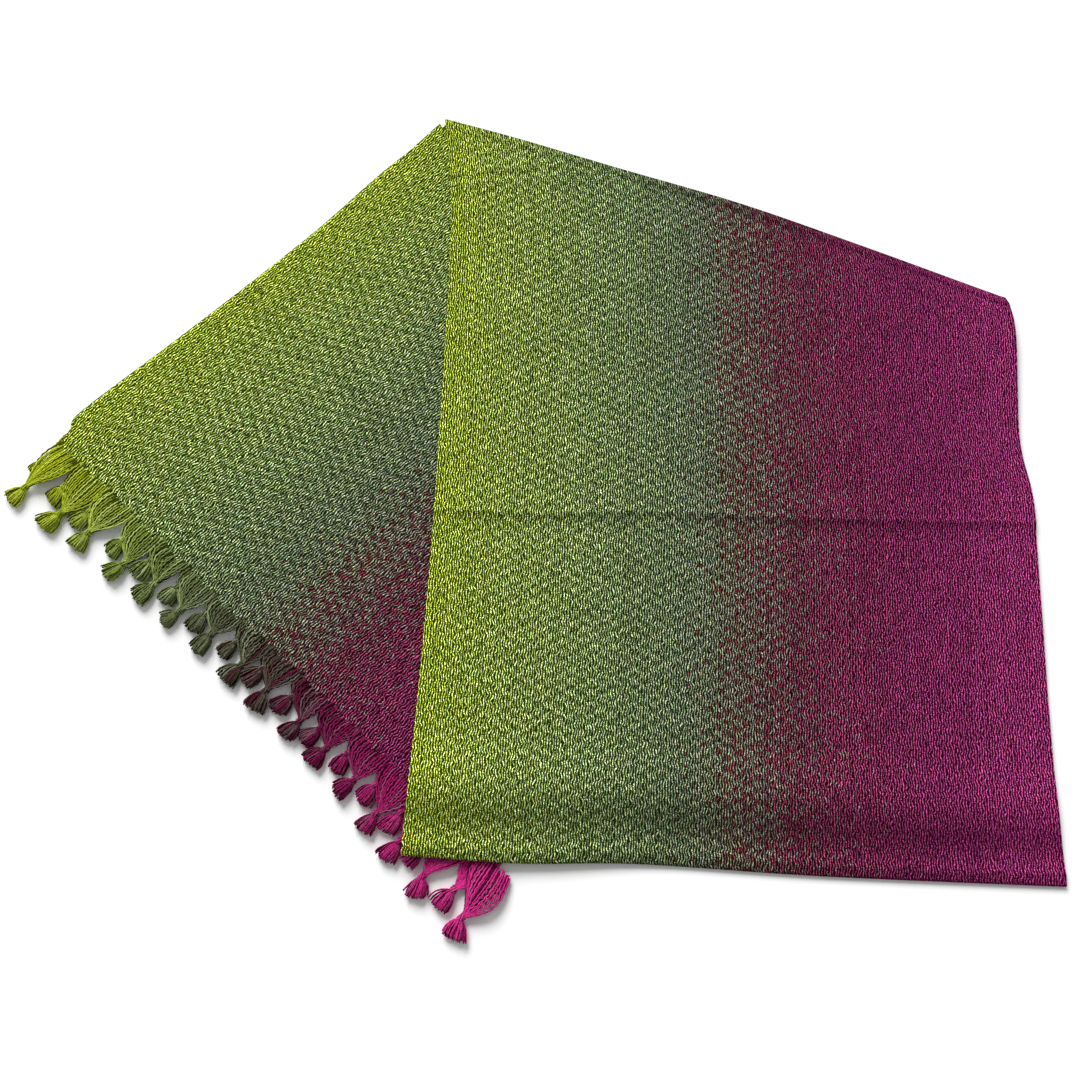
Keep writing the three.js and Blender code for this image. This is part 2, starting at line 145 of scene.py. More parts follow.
Crease = namedtuple("Crease", "start end half height bow")
FRONT_CREASES = (
    Crease((-140, 317), (700, 335), 5, 1.7, -4),
    Crease((-140, 324), (700, 342), 24, 1.2, -4),
    Crease((-140, 302), (700, 320), 14, -1.0, -4),
    Crease((-140, 66), (700, 62), 42, 3.4, 3),
    Crease((-60, 661), (215, 700), 6, -2.0, 3),
    Crease((-60, 661), (215, 700), 24, 1.8, 3),
    Crease((100, 702), (300, 690), 26, 0.9, 3),
    Crease((395, 60), (420, 250), 24, 0.8, 3),
    Crease((455, 90), (440, 300), 30, -0.7, 4),
    Crease((272, 470), (268, 590), 7, -0.5, 1),
    Crease((440, 330), (505, 520), 40, 0.7, 6),
    Crease((60, 150), (190, 290), 45, 0.5, 8),
    Crease((250, 120), (330, 300), 50, 0.5, -8),
    Crease((120, 420), (330, 500), 48, -0.5, 9),
    Crease((530, 100), (545, 280), 12, 0.5, 2),
)
BACK_CREASES = (
    Crease((-60, 231), (230, 238), 5, -2.6, 3),
    Crease((-60, 231), (230, 238), 22, 2.2, 3),
    Crease((60, 40), (210, 120), 34, 0.6, 6),
    Crease((200, 30), (330, 90), 30, -0.5, 4),
    Crease((30, 300), (110, 400), 26, 0.5, -4),
    Crease((260, 0), (300, 50), 18, 0.5, 2),
)

# Fringe: each bundle's knot along the woven end and out from it, and the way its tassel points

Bundle = namedtuple("Bundle", "along out points")
UPPER_BUNDLES = tuple(
    Bundle(*row)
    for row in (
        (18, 55, -137), (62, 49, -140), (95, 44, -133), (142, 41, -142),
        (176, 36, -137), (212, 37, -144), (249, 32, -132), (290, 33, -141),
        (323, 34, -120), (365, 33, -133), (399, 34, -140), (437, 36, -148),
        (472, 43, -128), (504, 46, -131), (539, 53, -105), (587, 55, -118),
    )
)
LOWER_BUNDLES = tuple(
    Bundle(*row)
    for row in (
        (14, 22, -133), (44, 29, -131), (80, 29, -138), (124, 26, -142),
        (157, 22, -124), (194, 22, -132), (231, 22, -135), (271, 21, -145),
        (306, 21, -143), (344, 21, -139), (383, 24, -143), (417, 23, -128),
        (454, 26, -135), (487, 28, -126), (522, 36, -141), (566, 43, -135),
    )
)
KNOT_HIGH = 4.4
FLOOR_GAP = 0.4

# Yarn colours across the cloth, as sRGB: green yarns in one block and the next, red yarns, the same
# yarns in the fringe, where they aren't worn pale, and the shade between the floats

GREEN_YARNS = (
    (0.0, "#EAFF70"),
    (0.12, "#E4FC94"),
    (0.28, "#CCE49E"),
    (0.42, "#ACBC94"),
    (0.52, "#A09E8C"),
    (0.62, "#887478"),
    (1.0, "#A86490"),
)
GREY_YARNS = (
    (0.0, "#C8DC40"),
    (0.12, "#AABE58"),
    (0.28, "#92A668"),
    (0.42, "#7C9070"),
    (0.52, "#746C60"),
    (0.62, "#684C54"),
    (1.0, "#904478"),
)
RED_YARNS = (
    (0.35, "#744C3C"),
    (0.5, "#984A54"),
    (0.65, "#A6466C"),
    (0.8, "#A6447A"),
    (1.0, "#C04E90"),
)
GREEN_FRINGE = (
    (0.0, "#CCDA20"),
    (0.1, "#B8C834"),
    (0.22, "#96AA4C"),
    (0.36, "#76805A"),
    (0.48, "#5E5C4C"),
    (0.6, "#584446"),
    (1.0, "#8C3C60"),
)
RED_FRINGE = (
    (0.35, "#5C3028"),
    (0.48, "#602834"),
    (0.6, "#741E48"),
    (0.75, "#A82468"),
    (1.0, "#F03C9C"),
)
SHADE = (
    (0.0, "#283200"),
    (0.25, "#142002"),
    (0.45, "#181406"),
    (0.6, "#20040C"),
    (0.8, "#300018"),
    (1.0, "#400022"),
)

# Bands of painted shade across the front panel, where it rolls towards its half fold: middle up the
# warp, half width, and the share of light lost

FoldShadeBand = namedtuple("FoldShadeBand", "middle half loss")
FRONT_FOLD_SHADE = (FoldShadeBand(40, 30, 0.45), FoldShadeBand(1, 11, 0.45))

# Painted shade along the slanting fold too, most where it runs past the straight line between its
# ends: where the band begins and is full, out from that line, and its share of light lost

SlantShadeBand = namedtuple("SlantShadeBand", "begins full loss")
SLANT_FOLD_SHADE = SlantShadeBand(-12, 8, 0.34)

# Camera: the photo looks down at 70 degrees, square to the folded edge

CAMERA_PLACE = (0.0203, -0.5296, 1.327)
CAMERA_TILT = 20
CAMERA_LENS = 51.0
KEY_COMES_FROM = (-0.3, 0.95, 0.68)
KEY_SOFTNESS = 38
FLOOR_HALF = 6
FLOOR_DROP = 0.1


def linear(code):
    """An sRGB hex code as linear red, green, blue and alpha."""
    parts = [int(code[k : k + 2], 16) / 255 for k in (1, 3, 5)]
    return [c / 12.92 if c <= 0.04045 else ((c + 0.055) / 1.055) ** 2.4 for c in parts] + [1.0]


def mix(low, high, share):
    return low + (high - low) * share


def smoothstep(value, low, high):
    t = min(1.0, max(0.0, (value - low) / (high - low)))
    return t * t * (3 - 2 * t)


def place(plan, height):
    """A point of the plan, in millimetres, as a point of the frame, in metres."""
    return Vector((plan.x + SHIFT.x, plan.y + SHIFT.y, height)) * MM


# Settings that a user would change


class ClothSettings(bpy.types.PropertyGroup):
    thread: FloatProperty(
        name="Thread spacing",
        description="Distance between two warp threads",
        default=2.35 * MM,
        unit="LENGTH",
    )
    float_length: FloatProperty(
        name="Float spacing",
        description="Distance along the warp between two floats of one thread",
        default=5.3 * MM,
        unit="LENGTH",
    )
    lean: FloatProperty(
        name="Lean",
        description="How far a float leans to either side, in thread spacings",
        default=0.22,
    )
    cover: FloatProperty(
        name="Cover",
        description="Half the width of a float, in thread spacings",
        default=0.205,
    )
    relief: FloatProperty(
        name="Relief",
        description="Height of the floats above the weft",
        default=0.3 * MM,
        unit="LENGTH",
    )
    unevenness: FloatProperty(
        name="Unevenness",
        description="How far the laid cloth rises and falls between its creases",
        default=0.8 * MM,
        unit="LENGTH",
    )
    mesh_step: FloatProperty(
        name="Mesh step",
        description="Distance between two points of the cloth's mesh along its warp",
        default=2.2 * MM,
        unit="LENGTH",
    )
    mesh_column: FloatProperty(
        name="Mesh column",
        description="Distance between two points of the cloth's mesh across its warp",
        default=5.5 * MM,
        unit="LENGTH",
    )


class FringeSettings(bpy.types.PropertyGroup):
    yarn: FloatProperty(
        name="Yarn",
        description="Diameter of one strand of the fringe",
        default=1.75 * MM,
        unit="LENGTH",
    )
    strands: IntProperty(
        name="Strands",
        description="Strands of warp gathered in each bundle",
        default=30,
    )
    ends: IntProperty(
        name="Tassel strands",
        description="Strands in each tassel below its knot",
        default=52,
    )
    crimp: FloatProperty(
        name="Crimp",
        description="How far the weave's crimp pushes a loose strand aside",
        default=0.6 * MM,
        unit="LENGTH",
    )
    crimp_length: FloatProperty(
        name="Crimp length",
        description="Distance from one wave of the crimp to the next",
        default=6 * MM,
        unit="LENGTH",
    )
    tassel: FloatProperty(
        name="Tassel length",
        description="From the middle of the knot to the tassel's tip",
        default=20.5 * MM,
        unit="LENGTH",
    )
    slack: FloatProperty(
        name="Slack",
        description="How far the outer strands of a bundle bow aside",
        default=3 * MM,
        unit="LENGTH",
    )


class FinishSettings(bpy.types.PropertyGroup):
    floor: FloatVectorProperty(
        name="Floor",
        description="Colour of the surface that the scarf lies on",
        subtype="COLOR",
        size=4,
        default=linear("#F7F7F7"),
    )
    key: FloatProperty(
        name="Key light",
        description="Strength of the soft light that comes from the back left",
        default=4.15,
    )
    sky: FloatProperty(
        name="Sky",
        description="Strength of the even light all round",
        default=0.42,
    )


# Plan of the cloth


class Outline:
    """A smooth line through a few plan points, read by the share of its length."""

    STEPS = 24

    def __init__(self, points):
        points = [Vector(p) for p in points]
        guide = [points[0], *points, points[-1]]
        self.line = []
        for k in range(len(points) - 1):
            for step in range(self.STEPS):
                self.line.append(self.between(*guide[k : k + 4], step / self.STEPS))
        self.line.append(points[-1])
        self.reach = [0.0]
        for before, after in zip(self.line, self.line[1:]):
            self.reach.append(self.reach[-1] + (after - before).length)

    @staticmethod
    def between(a, b, c, d, t):
        slope, bend = c - a, 2 * a - 5 * b + 4 * c - d
        return (2 * b + slope * t + bend * t * t + (3 * b - a - 3 * c + d) * t**3) / 2

    def at(self, share):
        want = share * self.reach[-1]
        k = min(max(bisect.bisect_left(self.reach, want), 1), len(self.line) - 1)
        step = self.reach[k] - self.reach[k - 1]
        return self.line[k - 1].lerp(self.line[k], (want - self.reach[k - 1]) / step)


class Patch:
    """A sheet's plan between four outlines: a runs across the cloth and b along its warp."""

    def __init__(self, near, far, first, last):
        self.sides = near, far, first, last
        self.corners = near.at(0), near.at(1), far.at(0), far.at(1)

    def at(self, a, b):
        near, far, first, last = self.sides
        c = self.corners
        across = near.at(a) * (1 - b) + far.at(a) * b
        along = first.at(b) * (1 - a) + last.at(b) * a
        low = c[0] * (1 - a) + c[1] * a
        high = c[2] * (1 - a) + c[3] * a
        return across + along - low * (1 - b) - high * b


ALONG_END = Vector(
    (math.cos(math.radians(WOVEN_END_ANGLE)), math.sin(math.radians(WOVEN_END_ANGLE)))
)
OUT_FROM_END = Vector((ALONG_END.y, -ALONG_END.x))
FRONT_PLAN = Patch(*map(Outline, (HALF_FOLD, SLANT_FOLD, FRONT_LIME_EDGE, FRONT_MAGENTA_EDGE)))


def end_point(along, out):
    """A plan point by its place along the woven end and out from it."""
    return WOVEN_END + ALONG_END * along + OUT_FROM_END * out


def warp_length(a):
    return (FRONT_PLAN.at(a, 1) - FRONT_PLAN.at(a, 0)).length


def rest_height(plan):
    """How high the front fold's underside lies above the surface."""
    edge = (HIDDEN_EDGE_BOTTOM - HIDDEN_EDGE_TOP).normalized()
    offset = plan - HIDDEN_EDGE_TOP
    away = offset.y * edge.x - offset.x * edge.y
    on_back = 2 * LAYER * (1 - smoothstep(away, 0, DROP_WIDTH))
    far = (plan - Vector(HALF_FOLD[0])).length
    return on_back + CORNER_LIFT_HEIGHT * (
        1 - smoothstep(far, CORNER_LIFT_FLAT, CORNER_LIFT_REACH)
    )


def crease_height(crease, across, along):
    """The soft trough or ridge of one crease, at a place on the cloth."""
    start, end, here = Vector(crease.start), Vector(crease.end), Vector((across, along))
    line = end - start
    share = min(1.0, max(0.0, (here - start).dot(line) / line.length_squared))
    side = Vector((-line.y, line.x)).normalized()
    centre = start + line * share + side * crease.bow * math.sin(math.pi * share)
    distance = (here - centre).length / crease.half
    fade = min(1.0, CREASE_FADE * share, CREASE_FADE * (1 - share))
    if crease.half < SHARP:
        profile = max(0.0, 1 - distance) ** 1.5
    else:
        profile = max(0.0, 1 - distance**2) ** 2
    return crease.height * fade * profile


def fold_roll(distance, half):
    """The soft roll that the cloth keeps beside a fold, for a distance from the fold."""
    return ROLL_HEIGHT * max(0.0, 1 - (distance / half - 1) ** 2) ** 2


def relief(creases, across, along, unevenness):
    """Height of the laid cloth's surface over its plain form."""
    spot = Vector((across / SWELL_LENGTH, along / SWELL_LENGTH, 0))
    swell = noise.noise(spot) + FINE_SWELL * noise.noise(spot * FINE_SWELLS)
    soft = LAID_LIFT + unevenness * swell
    return max(PRESSED, soft + sum(crease_height(c, across, along) for c in creases))


# Meshes


def finish_mesh(name, bm, material, smooth=True):
    """Put a bmesh into the scene as one object at the origin."""
    mesh = bpy.data.meshes.new(name)
    bm.to_mesh(mesh)
    bm.free()
    for polygon in mesh.polygons:
        polygon.use_smooth = smooth
    mesh.materials.append(material)
    piece = bpy.data.objects.new(name, mesh)
    bpy.context.collection.objects.link(piece)
    return piece


def sheet(name, columns, rows, surface, material):
    """A woven layer: a grid laid on its surface, given its thickness downwards, with round rims.

    surface takes a vertex's column and row and gives its place and its place on the flat cloth.
    """
    bm = bmesh.new()
    bmesh.ops.create_grid(bm, x_segments=columns, y_segments=rows, size=0.5)
    weave = bm.loops.layers.uv.new("weave")
    flat = {}
    for vertex in bm.verts:
        column = round((vertex.co.x + 0.5) * columns)
        row = round((vertex.co.y + 0.5) * rows)
        vertex.co, flat[vertex] = surface(column, row)
    for face in bm.faces:
        for loop in face.loops:
            loop[weave].uv = flat[loop.vert]
    piece = finish_mesh(name, bm, material)
    thick = piece.modifiers.new("Thickness", "SOLIDIFY")
    thick.thickness = CLOTH * MM
    thick.offset = -1
    rim = piece.modifiers.new("Round rims", "BEVEL")
    rim.limit_method = "ANGLE"
    rim.angle_limit = math.radians(RIM_TURN)
    rim.width = RIM_ROUND * MM
    rim.segments = 2
    return piece


def ride_and_replace(piece, slot, *nodes):
    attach(piece, "root")
    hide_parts(*nodes)


# Layers of cloth


class FrontPath:
    """Rows up one warp thread of the front panel: round the half fold, up, and over the slant."""

    HALF_STEPS = 6
    SLANT_STEPS = 10

    def __init__(self, flat_rows):
        self.flat_rows = flat_rows
        self.rows = self.HALF_STEPS + flat_rows + self.SLANT_STEPS

    def at(self, a, row, unevenness):
        """The outer face's plan distance v, its height, and its distance along the cloth."""
        length = warp_length(a)
        half, slant = PAIR / 2, STACK / 2
        flat_end = length - slant
        if row < self.HALF_STEPS:
            turn = math.pi * (row / self.HALF_STEPS - 0.5)
            rest = rest_height(FRONT_PLAN.at(a, 0))
            return half - half * math.cos(turn), rest + half + half * math.sin(turn), half * turn
        row -= self.HALF_STEPS
        if row <= self.flat_rows:
            v = mix(half, flat_end, row / self.flat_rows)
            rest = rest_height(FRONT_PLAN.at(a, v / length))
            level = smoothstep(v, half, FOLD_FADE) * smoothstep(flat_end - v, 0, FOLD_FADE)
            lift = relief(FRONT_CREASES, a * CLOTH_WIDTH, v, unevenness) * level
            lift += fold_roll(v - half, HALF_FOLD_ROLL) + fold_roll(flat_end - v, SLANT_FOLD_ROLL)
            return v, rest + PAIR + lift, v + half
        turn = math.pi * (0.5 - (row - self.flat_rows) / self.SLANT_STEPS)
        v = flat_end + slant * math.cos(turn)
        return v, slant + slant * math.sin(turn), flat_end + slant * (math.pi / 2 - turn)


def front_panel(cloth, material):
    """The top layer of the front fold, with both folds rolled round the layers below."""
    columns = round(CLOTH_WIDTH * MM / cloth.mesh_column)
    path = FrontPath(round(warp_length(0) * MM / cloth.mesh_step))

    def surface(column, row):
        a = column / columns
        v, height, along = path.at(a, row, cloth.unevenness / MM)
        plan = FRONT_PLAN.at(a, v / warp_length(a))
        return place(plan, height), (a * CLOTH_WIDTH * MM, along * MM)

    return sheet("front_panel_cloth", columns, path.rows, surface, material)


def under_layer(cloth, material):
    """The layer below the front panel, rolled back inside the slanting fold."""
    step = cloth.mesh_column / MM
    columns = round(CLOTH_WIDTH / step)
    flat_rows = round(warp_length(0) / step)
    roll_rows = FrontPath.HALF_STEPS
    tuck_rows = round(TUCK / step)

    def surface(column, row):
        a = mix(EDGE_INSET, 1 - EDGE_INSET, column / columns)
        length = warp_length(a)
        end = length - STACK / 2
        centre = STACK / 2
        radius = PAIR / 2
        if row <= flat_rows:
            v = mix(PAIR / 2 + SEAM, end, row / flat_rows)
            rest = rest_height(FRONT_PLAN.at(a, v / length))
            level = smoothstep(v, UNDER_FADE, FOLD_FADE) * smoothstep(end - v, 0, FOLD_FADE)
            lift = relief(FRONT_CREASES, a * CLOTH_WIDTH, v, cloth.unevenness / MM)
            height = rest + CLOTH + max(0.0, lift) / 2 * level
            along = v
        elif row <= flat_rows + roll_rows:
            turn = math.pi * (0.5 - (row - flat_rows) / roll_rows)
            v = end + radius * math.cos(turn)
            height = centre + radius * math.sin(turn)
            along = end + radius * (math.pi / 2 - turn)
        else:
            back = TUCK * (row - flat_rows - roll_rows) / tuck_rows
            v = end - back
            height = centre - radius
            along = end + radius * math.pi + back
        plan = FRONT_PLAN.at(a, v / length)
        return place(plan, height), (a * CLOTH_WIDTH * MM, along * MM)

    rows = flat_rows + roll_rows + tuck_rows
    return sheet("under_layer_cloth", columns, rows, surface, material)


def lime_edge_start(out):
    """How far along the woven end the lime edge lies, for a distance out from that end."""
    rows = [Vector(p) - WOVEN_END for p in reversed(BACK_LIME_EDGE)]
    outs = [p.dot(OUT_FROM_END) for p in rows]
    alongs = [p.dot(ALONG_END) for p in rows]
    k = min(max(bisect.bisect_left(outs, out), 1), len(outs) - 1)
    share = (out - outs[k - 1]) / (outs[k] - outs[k - 1])
    return mix(alongs[k - 1], alongs[k], share)


def on_back_cloth(plan):
    """A plan point's place on the flat cloth: across it from its lime edge, and up its warp."""
    offset = plan - WOVEN_END
    out = offset.dot(OUT_FROM_END)
    across = offset.dot(ALONG_END) - lime_edge_start(out)
    return across * CLOTH_WIDTH / WOVEN_END_WIDTH, -out


WovenEnd = namedtuple("WovenEnd", "width back slip bundles past reach corner")
UPPER_END = WovenEnd(WOVEN_END_WIDTH, 0, 0, len(UPPER_BUNDLES), 8, 40, 8)
LOWER_END = WovenEnd(
    LOWER_END_WIDTH, LOWER_END_BACK, LOWER_END_SLIP, len(LOWER_BUNDLES), 1.5, 14, 6
)
SCALLOP_DEPTH = 3.5
CORNER_REACH = 45


def scalloped(plan, end):
    """The woven end reaches further out where a bundle gathers it, and less between two.

    The bundles pull it past its plain line, and the first one pulls its corner in.
    """
    offset = plan - WOVEN_END
    along = offset.dot(ALONG_END) - end.slip
    from_end = -offset.dot(OUT_FROM_END) - end.back
    wave = math.cos(2 * math.pi * (along / end.width * end.bundles - 0.5))
    out = end.past * (1 - smoothstep(from_end, 0, end.reach))
    out += SCALLOP_DEPTH * wave * (1 - smoothstep(from_end, 0, end.reach / 2))
    pulled = end.corner * (1 - smoothstep(from_end, 0, end.reach))
    pulled *= 1 - smoothstep(along, 0, CORNER_REACH)
    return plan + OUT_FROM_END * out + ALONG_END * pulled


def back_panel(cloth, material):
    """The stretch of the third layer that shows beside the front panel."""
    step = cloth.mesh_step / MM
    columns = round(UNDERLAP_TIP * MM / cloth.mesh_column)
    tip = end_point(UNDERLAP_TIP, 0)
    near = Outline((end_point(0, 0), tip))
    far = Outline(UNDERLAP)
    first = Outline((*BACK_LIME_EDGE[:-1], UNDERLAP[0]))
    plan_of = Patch(near, far, first, Outline((tip, UNDERLAP[-1])))
    rows = round(first.reach[-1] / step)

    def surface(column, row):
        plan = plan_of.at(column / columns, row / rows)
        plan = scalloped(plan, UPPER_END)
        across, along = on_back_cloth(plan)
        lift = relief(BACK_CREASES, across, along, cloth.unevenness / MM)
        return place(plan, LAYER + CLOTH + lift), (across * MM, along * MM)

    return sheet("back_panel_cloth", columns, rows, surface, material)


FOLD_POINTS = 8


def bottom_layer(cloth, material):
    """The layer at the bottom, from its woven end up to the slanting fold, flat on the surface."""
    step = cloth.mesh_column / MM
    width = LOWER_END_WIDTH
    ends = [end_point(LOWER_END_SLIP + along, -LOWER_END_BACK) for along in (0, width)]
    fold = []
    for k in range(FOLD_POINTS):
        a = k / (FOLD_POINTS - 1)
        fold.append(FRONT_PLAN.at(a, 1 - (STACK / 2 + SEAM) / warp_length(a)))
    peek = [Vector(p) + Vector((-LOWER_PEEK, LOWER_PEEK)) for p in BACK_LIME_EDGE[1:-1]]
    first = Outline((ends[0], *peek, fold[0]))
    last = Outline((ends[1], HIDDEN_EDGE_TOP + HIDDEN_EDGE_INSET))
    fold[-1] = last.at(1)
    plan_of = Patch(Outline(ends), Outline(fold), first, last)
    columns = round(width / step)
    rows = round(last.reach[-1] / step)

    def surface(column, row):
        plan = plan_of.at(column / columns, row / rows)
        plan = scalloped(plan, LOWER_END)
        across, along = on_back_cloth(plan)
        return place(plan, CLOTH), (across * MM, along * MM)

    return sheet("bottom_layer_cloth", columns, rows, surface, material)


# Fringe: lengths in millimetres, yarns and thinness in shares of the yarn's width

UP = Vector((0, 0, 1))
STRAND_SIDES = 5
STRAND_STATIONS = 18
END_GAP = 0.25


def strand(bm, layers, path, radii, across, outward=UP):
    """Roll a small grid round a path into one closed strand. Path and radii are in millimetres."""
    stations = len(path) - 1
    sides = STRAND_SIDES
    made = bmesh.ops.create_grid(bm, x_segments=sides, y_segments=stations, size=0.5)["verts"]
    rings = []
    # The yarn's material paints the side that faces outward lit and the sides round from it in
    # shade.
    normal = outward
    for k, point in enumerate(path):
        ahead = (path[min(k + 1, stations)] - path[max(k - 1, 0)]).normalized()
        normal = (normal - ahead * normal.dot(ahead)).normalized()
        rings.append((point, normal.copy(), ahead.cross(normal)))
    reach = [0.0]
    for one, two in zip(path, path[1:]):
        reach.append(reach[-1] + (two - one).length)
    weave, twist = layers
    flat = {}
    for vertex in made:
        side = round((vertex.co.x + 0.5) * sides)
        k = round((vertex.co.y + 0.5) * stations)
        point, out, aside = rings[k]
        turn = 2 * math.pi * (side % sides) / sides
        at = point + (out * math.cos(turn) + aside * math.sin(turn)) * radii[k]
        vertex.co = at * MM
        flat[vertex] = (side / sides, reach[k] * MM)
    for face in {f for v in made for f in v.link_faces}:
        for loop in face.loops:
            around, along = flat[loop.vert]
            loop[weave].uv = (across * MM, along)
            loop[twist].uv = (around, along)


def capped(radii):
    """Radii for a strand whose two ends close in a point."""
    return [0.0, *radii, 0.0]


def doubled_ends(path):
    """The path with its first and last points given twice, a hair apart, for closed ends."""
    first = path[0] + (path[0] - path[1]).normalized() * END_GAP
    last = path[-1] + (path[-1] - path[-2]).normalized() * END_GAP
    return [first, *path, last]


Row = namedtuple("Row", "bundles end strip arch first_arch swell")
UPPER_ROW = Row(UPPER_BUNDLES, UPPER_END, PAIR, 6.4, 9.2, 5)
LOWER_ROW = Row(LOWER_BUNDLES, LOWER_END, CLOTH, 2.4, 2.4, 2)
BEGIN_ON_CLOTH = (1, 7)
GATHER = (2.6, 4.0)
LAST_GATHER = (2.2, 5.6)
NECK_HALF = 1.5
NECK_LEVEL = 1.3
NECK_THIN = 0.75
LEVEL_LIFT = 0.8
CRIMP_RISE = 0.4
FREE_LENGTH = 45
SWAY = 0.6
START_SLIP = 0.5
LATE_SLIP = 0.3
SLACK_SHARE = (0.2, 0.8)
LIFT_SLIP = 0.5
WAVE_SLIP = 0.8
WAVE_STRETCH = (0.96, 1.04)
CRIMP_FADES = (4, 5)


def in_frame(along, out, height):
    plan = end_point(along, out)
    return Vector((plan.x + SHIFT.x, plan.y + SHIFT.y, height))


def across_cloth(start, row):
    """A strand's place across the flat cloth, for its start along the woven end."""
    return (start - row.end.slip) / row.end.width * CLOTH_WIDTH


def gathered_strands(bm, layers, bundle, root, row, fringe, rng):
    """Strands from the woven end to the knot, crimped by the weave and slack at their outside.

    They run on side by side, and draw together only before the knot. The last bundle of a row
    swells past the cloth's edge, and the first one is narrow.
    """
    count = fringe.strands
    pitch = row.end.width / len(row.bundles)
    radius = fringe.yarn / MM / 2
    first = bundle is row.bundles[0]
    last = bundle is row.bundles[-1]
    arch = row.first_arch if first else row.arch
    gather = rng.uniform(*GATHER), rng.uniform(*GATHER)
    if last:
        gather = LAST_GATHER
    sway = rng.uniform(-SWAY, SWAY) * fringe.slack / MM
    bundle_wave = rng.uniform(0, 2 * math.pi)
    stations = STRAND_STATIONS
    for k in range(count):
        side = (k + 0.5) / count * 2 - 1
        share = (side + 1) / 2
        level = 1 if k % 2 else -1
        start = root + side * pitch / 2 + rng.uniform(-START_SLIP, START_SLIP)
        start += row.end.corner * (1 - share) * first
        neck = bundle.along + side * NECK_HALF
        neck_out = bundle.out - NECK_HALF
        neck_high = KNOT_HIGH + NECK_LEVEL * level
        late = mix(*gather, share) + rng.uniform(-LATE_SLIP, LATE_SLIP)
        begin = row.end.past - row.end.back - rng.uniform(*BEGIN_ON_CLOTH)
        begin -= SCALLOP_DEPTH * side * side
        length = neck_out - begin
        slack = side * abs(side) * fringe.slack / MM * rng.uniform(*SLACK_SHARE)
        bow = (slack + sway) * length / FREE_LENGTH
        bow += row.swell * share * last
        lift = level * LEVEL_LIFT + rng.uniform(-LIFT_SLIP, LIFT_SLIP)
        wave = bundle_wave + side + rng.uniform(-WAVE_SLIP, WAVE_SLIP)
        waves = length / (fringe.crimp_length / MM) * rng.uniform(*WAVE_STRETCH)
        path = []
        for s in range(stations):
            t = s / (stations - 1)
            crimp = math.sin(wave + 2 * math.pi * t * waves)
            crimp *= fringe.crimp / MM * min(1.0, CRIMP_FADES[0] * t, CRIMP_FADES[1] * (1 - t))
            drawn = math.sin(math.pi / 2 * t**late)
            along = mix(start, neck, drawn) + bow * math.sin(math.pi * t) + crimp
            out = mix(begin, neck_out, t)
            mean = mix(row.strip, neck_high, t)
            height = mean + 4 * t * (1 - t) * (arch + lift - (row.strip + neck_high) / 2)
            height += crimp * CRIMP_RISE
            path.append(in_frame(along, out, max(height, radius + FLOOR_GAP)))
        radii = []
        for s in range(stations):
            radii.append(radius * mix(1.0, NECK_THIN, (s / (stations - 1)) ** 3))
        # Low strands face down, so the yarn's material paints their tops in shade.
        strand(bm, layers, doubled_ends(path), capped(radii), across_cloth(start, row), UP * level)


WRAPS = 5
WRAP_PITCH = 1.2
WRAP_GIRTH = 2.9
WRAP_TURN = 2.15 * math.pi
WRAP_YARN = 0.95
WRAP_LEAN = (0.3, 0.6)
WRAP_BARREL = 0.16
WRAP_SWELL = 0.3
WRAP_TRAVEL = 0.8
WRAP_FLAT = 0.9
WRAP_FROM = 12
CROSSING_HALF = 4.2
CROSSING_HIGH = 3.7
CROSSING_YARN = 0.9
CROSSING_APART = 0.9
CROSSING_LEAN = 2.2
CROSSING_DROP = 2.5
CROSSING_FROM = 9
CROSSING_STATIONS = 8


def knot_wraps(bm, layers, bundle, root, row, fringe, rng):
    """The overhand knot: strands wound side by side round the neck, and one pair across them."""
    centre = in_frame(bundle.along, bundle.out, KNOT_HIGH)
    heading = math.radians(bundle.points)
    axis = Vector((math.cos(heading), math.sin(heading), 0)) + OUT_FROM_END.to_3d()
    axis.normalize()
    aside = axis.cross(UP)
    radius = fringe.yarn / MM / 2 * WRAP_YARN
    lean = rng.choice((-1, 1)) * rng.uniform(*WRAP_LEAN)
    stations = STRAND_STATIONS
    for k in range(WRAPS):
        from_middle = k - (WRAPS - 1) / 2
        offset = from_middle * WRAP_PITCH
        begin = rng.uniform(0, 2 * math.pi)
        girth = WRAP_GIRTH - WRAP_BARREL * from_middle**2
        path = []
        for s in range(stations):
            t = s / (stations - 1)
            turn = begin + WRAP_TURN * t
            ring = girth + WRAP_SWELL * math.sin(math.pi * t)
            reach = offset + lean * ring * math.cos(turn) + WRAP_TRAVEL * (t - 0.5)
            spot = axis * reach + aside * ring * math.cos(turn)
            spot += UP * ring * WRAP_FLAT * math.sin(turn)
            path.append(centre + spot)
        across = across_cloth(root + rng.uniform(-WRAP_FROM, WRAP_FROM), row)
        radii = capped([radius] * (stations - 2))
        # Each wrap's painted lit side faces away from the knot's middle.
        strand(bm, layers, path, radii, across, path[0] - centre)
    for k in (-1, 1):
        path = []
        for s in range(CROSSING_STATIONS):
            t = s / (CROSSING_STATIONS - 1) * 2 - 1
            spot = axis * t * CROSSING_HALF
            spot += aside * (k * CROSSING_APART - lean * t * CROSSING_LEAN)
            spot += UP * (CROSSING_HIGH - CROSSING_DROP * t * t)
            path.append(centre + spot)
        radii = capped([radius * CROSSING_YARN] * (CROSSING_STATIONS - 2))
        strand(bm, layers, path, radii, across_cloth(root + k * CROSSING_FROM, row))


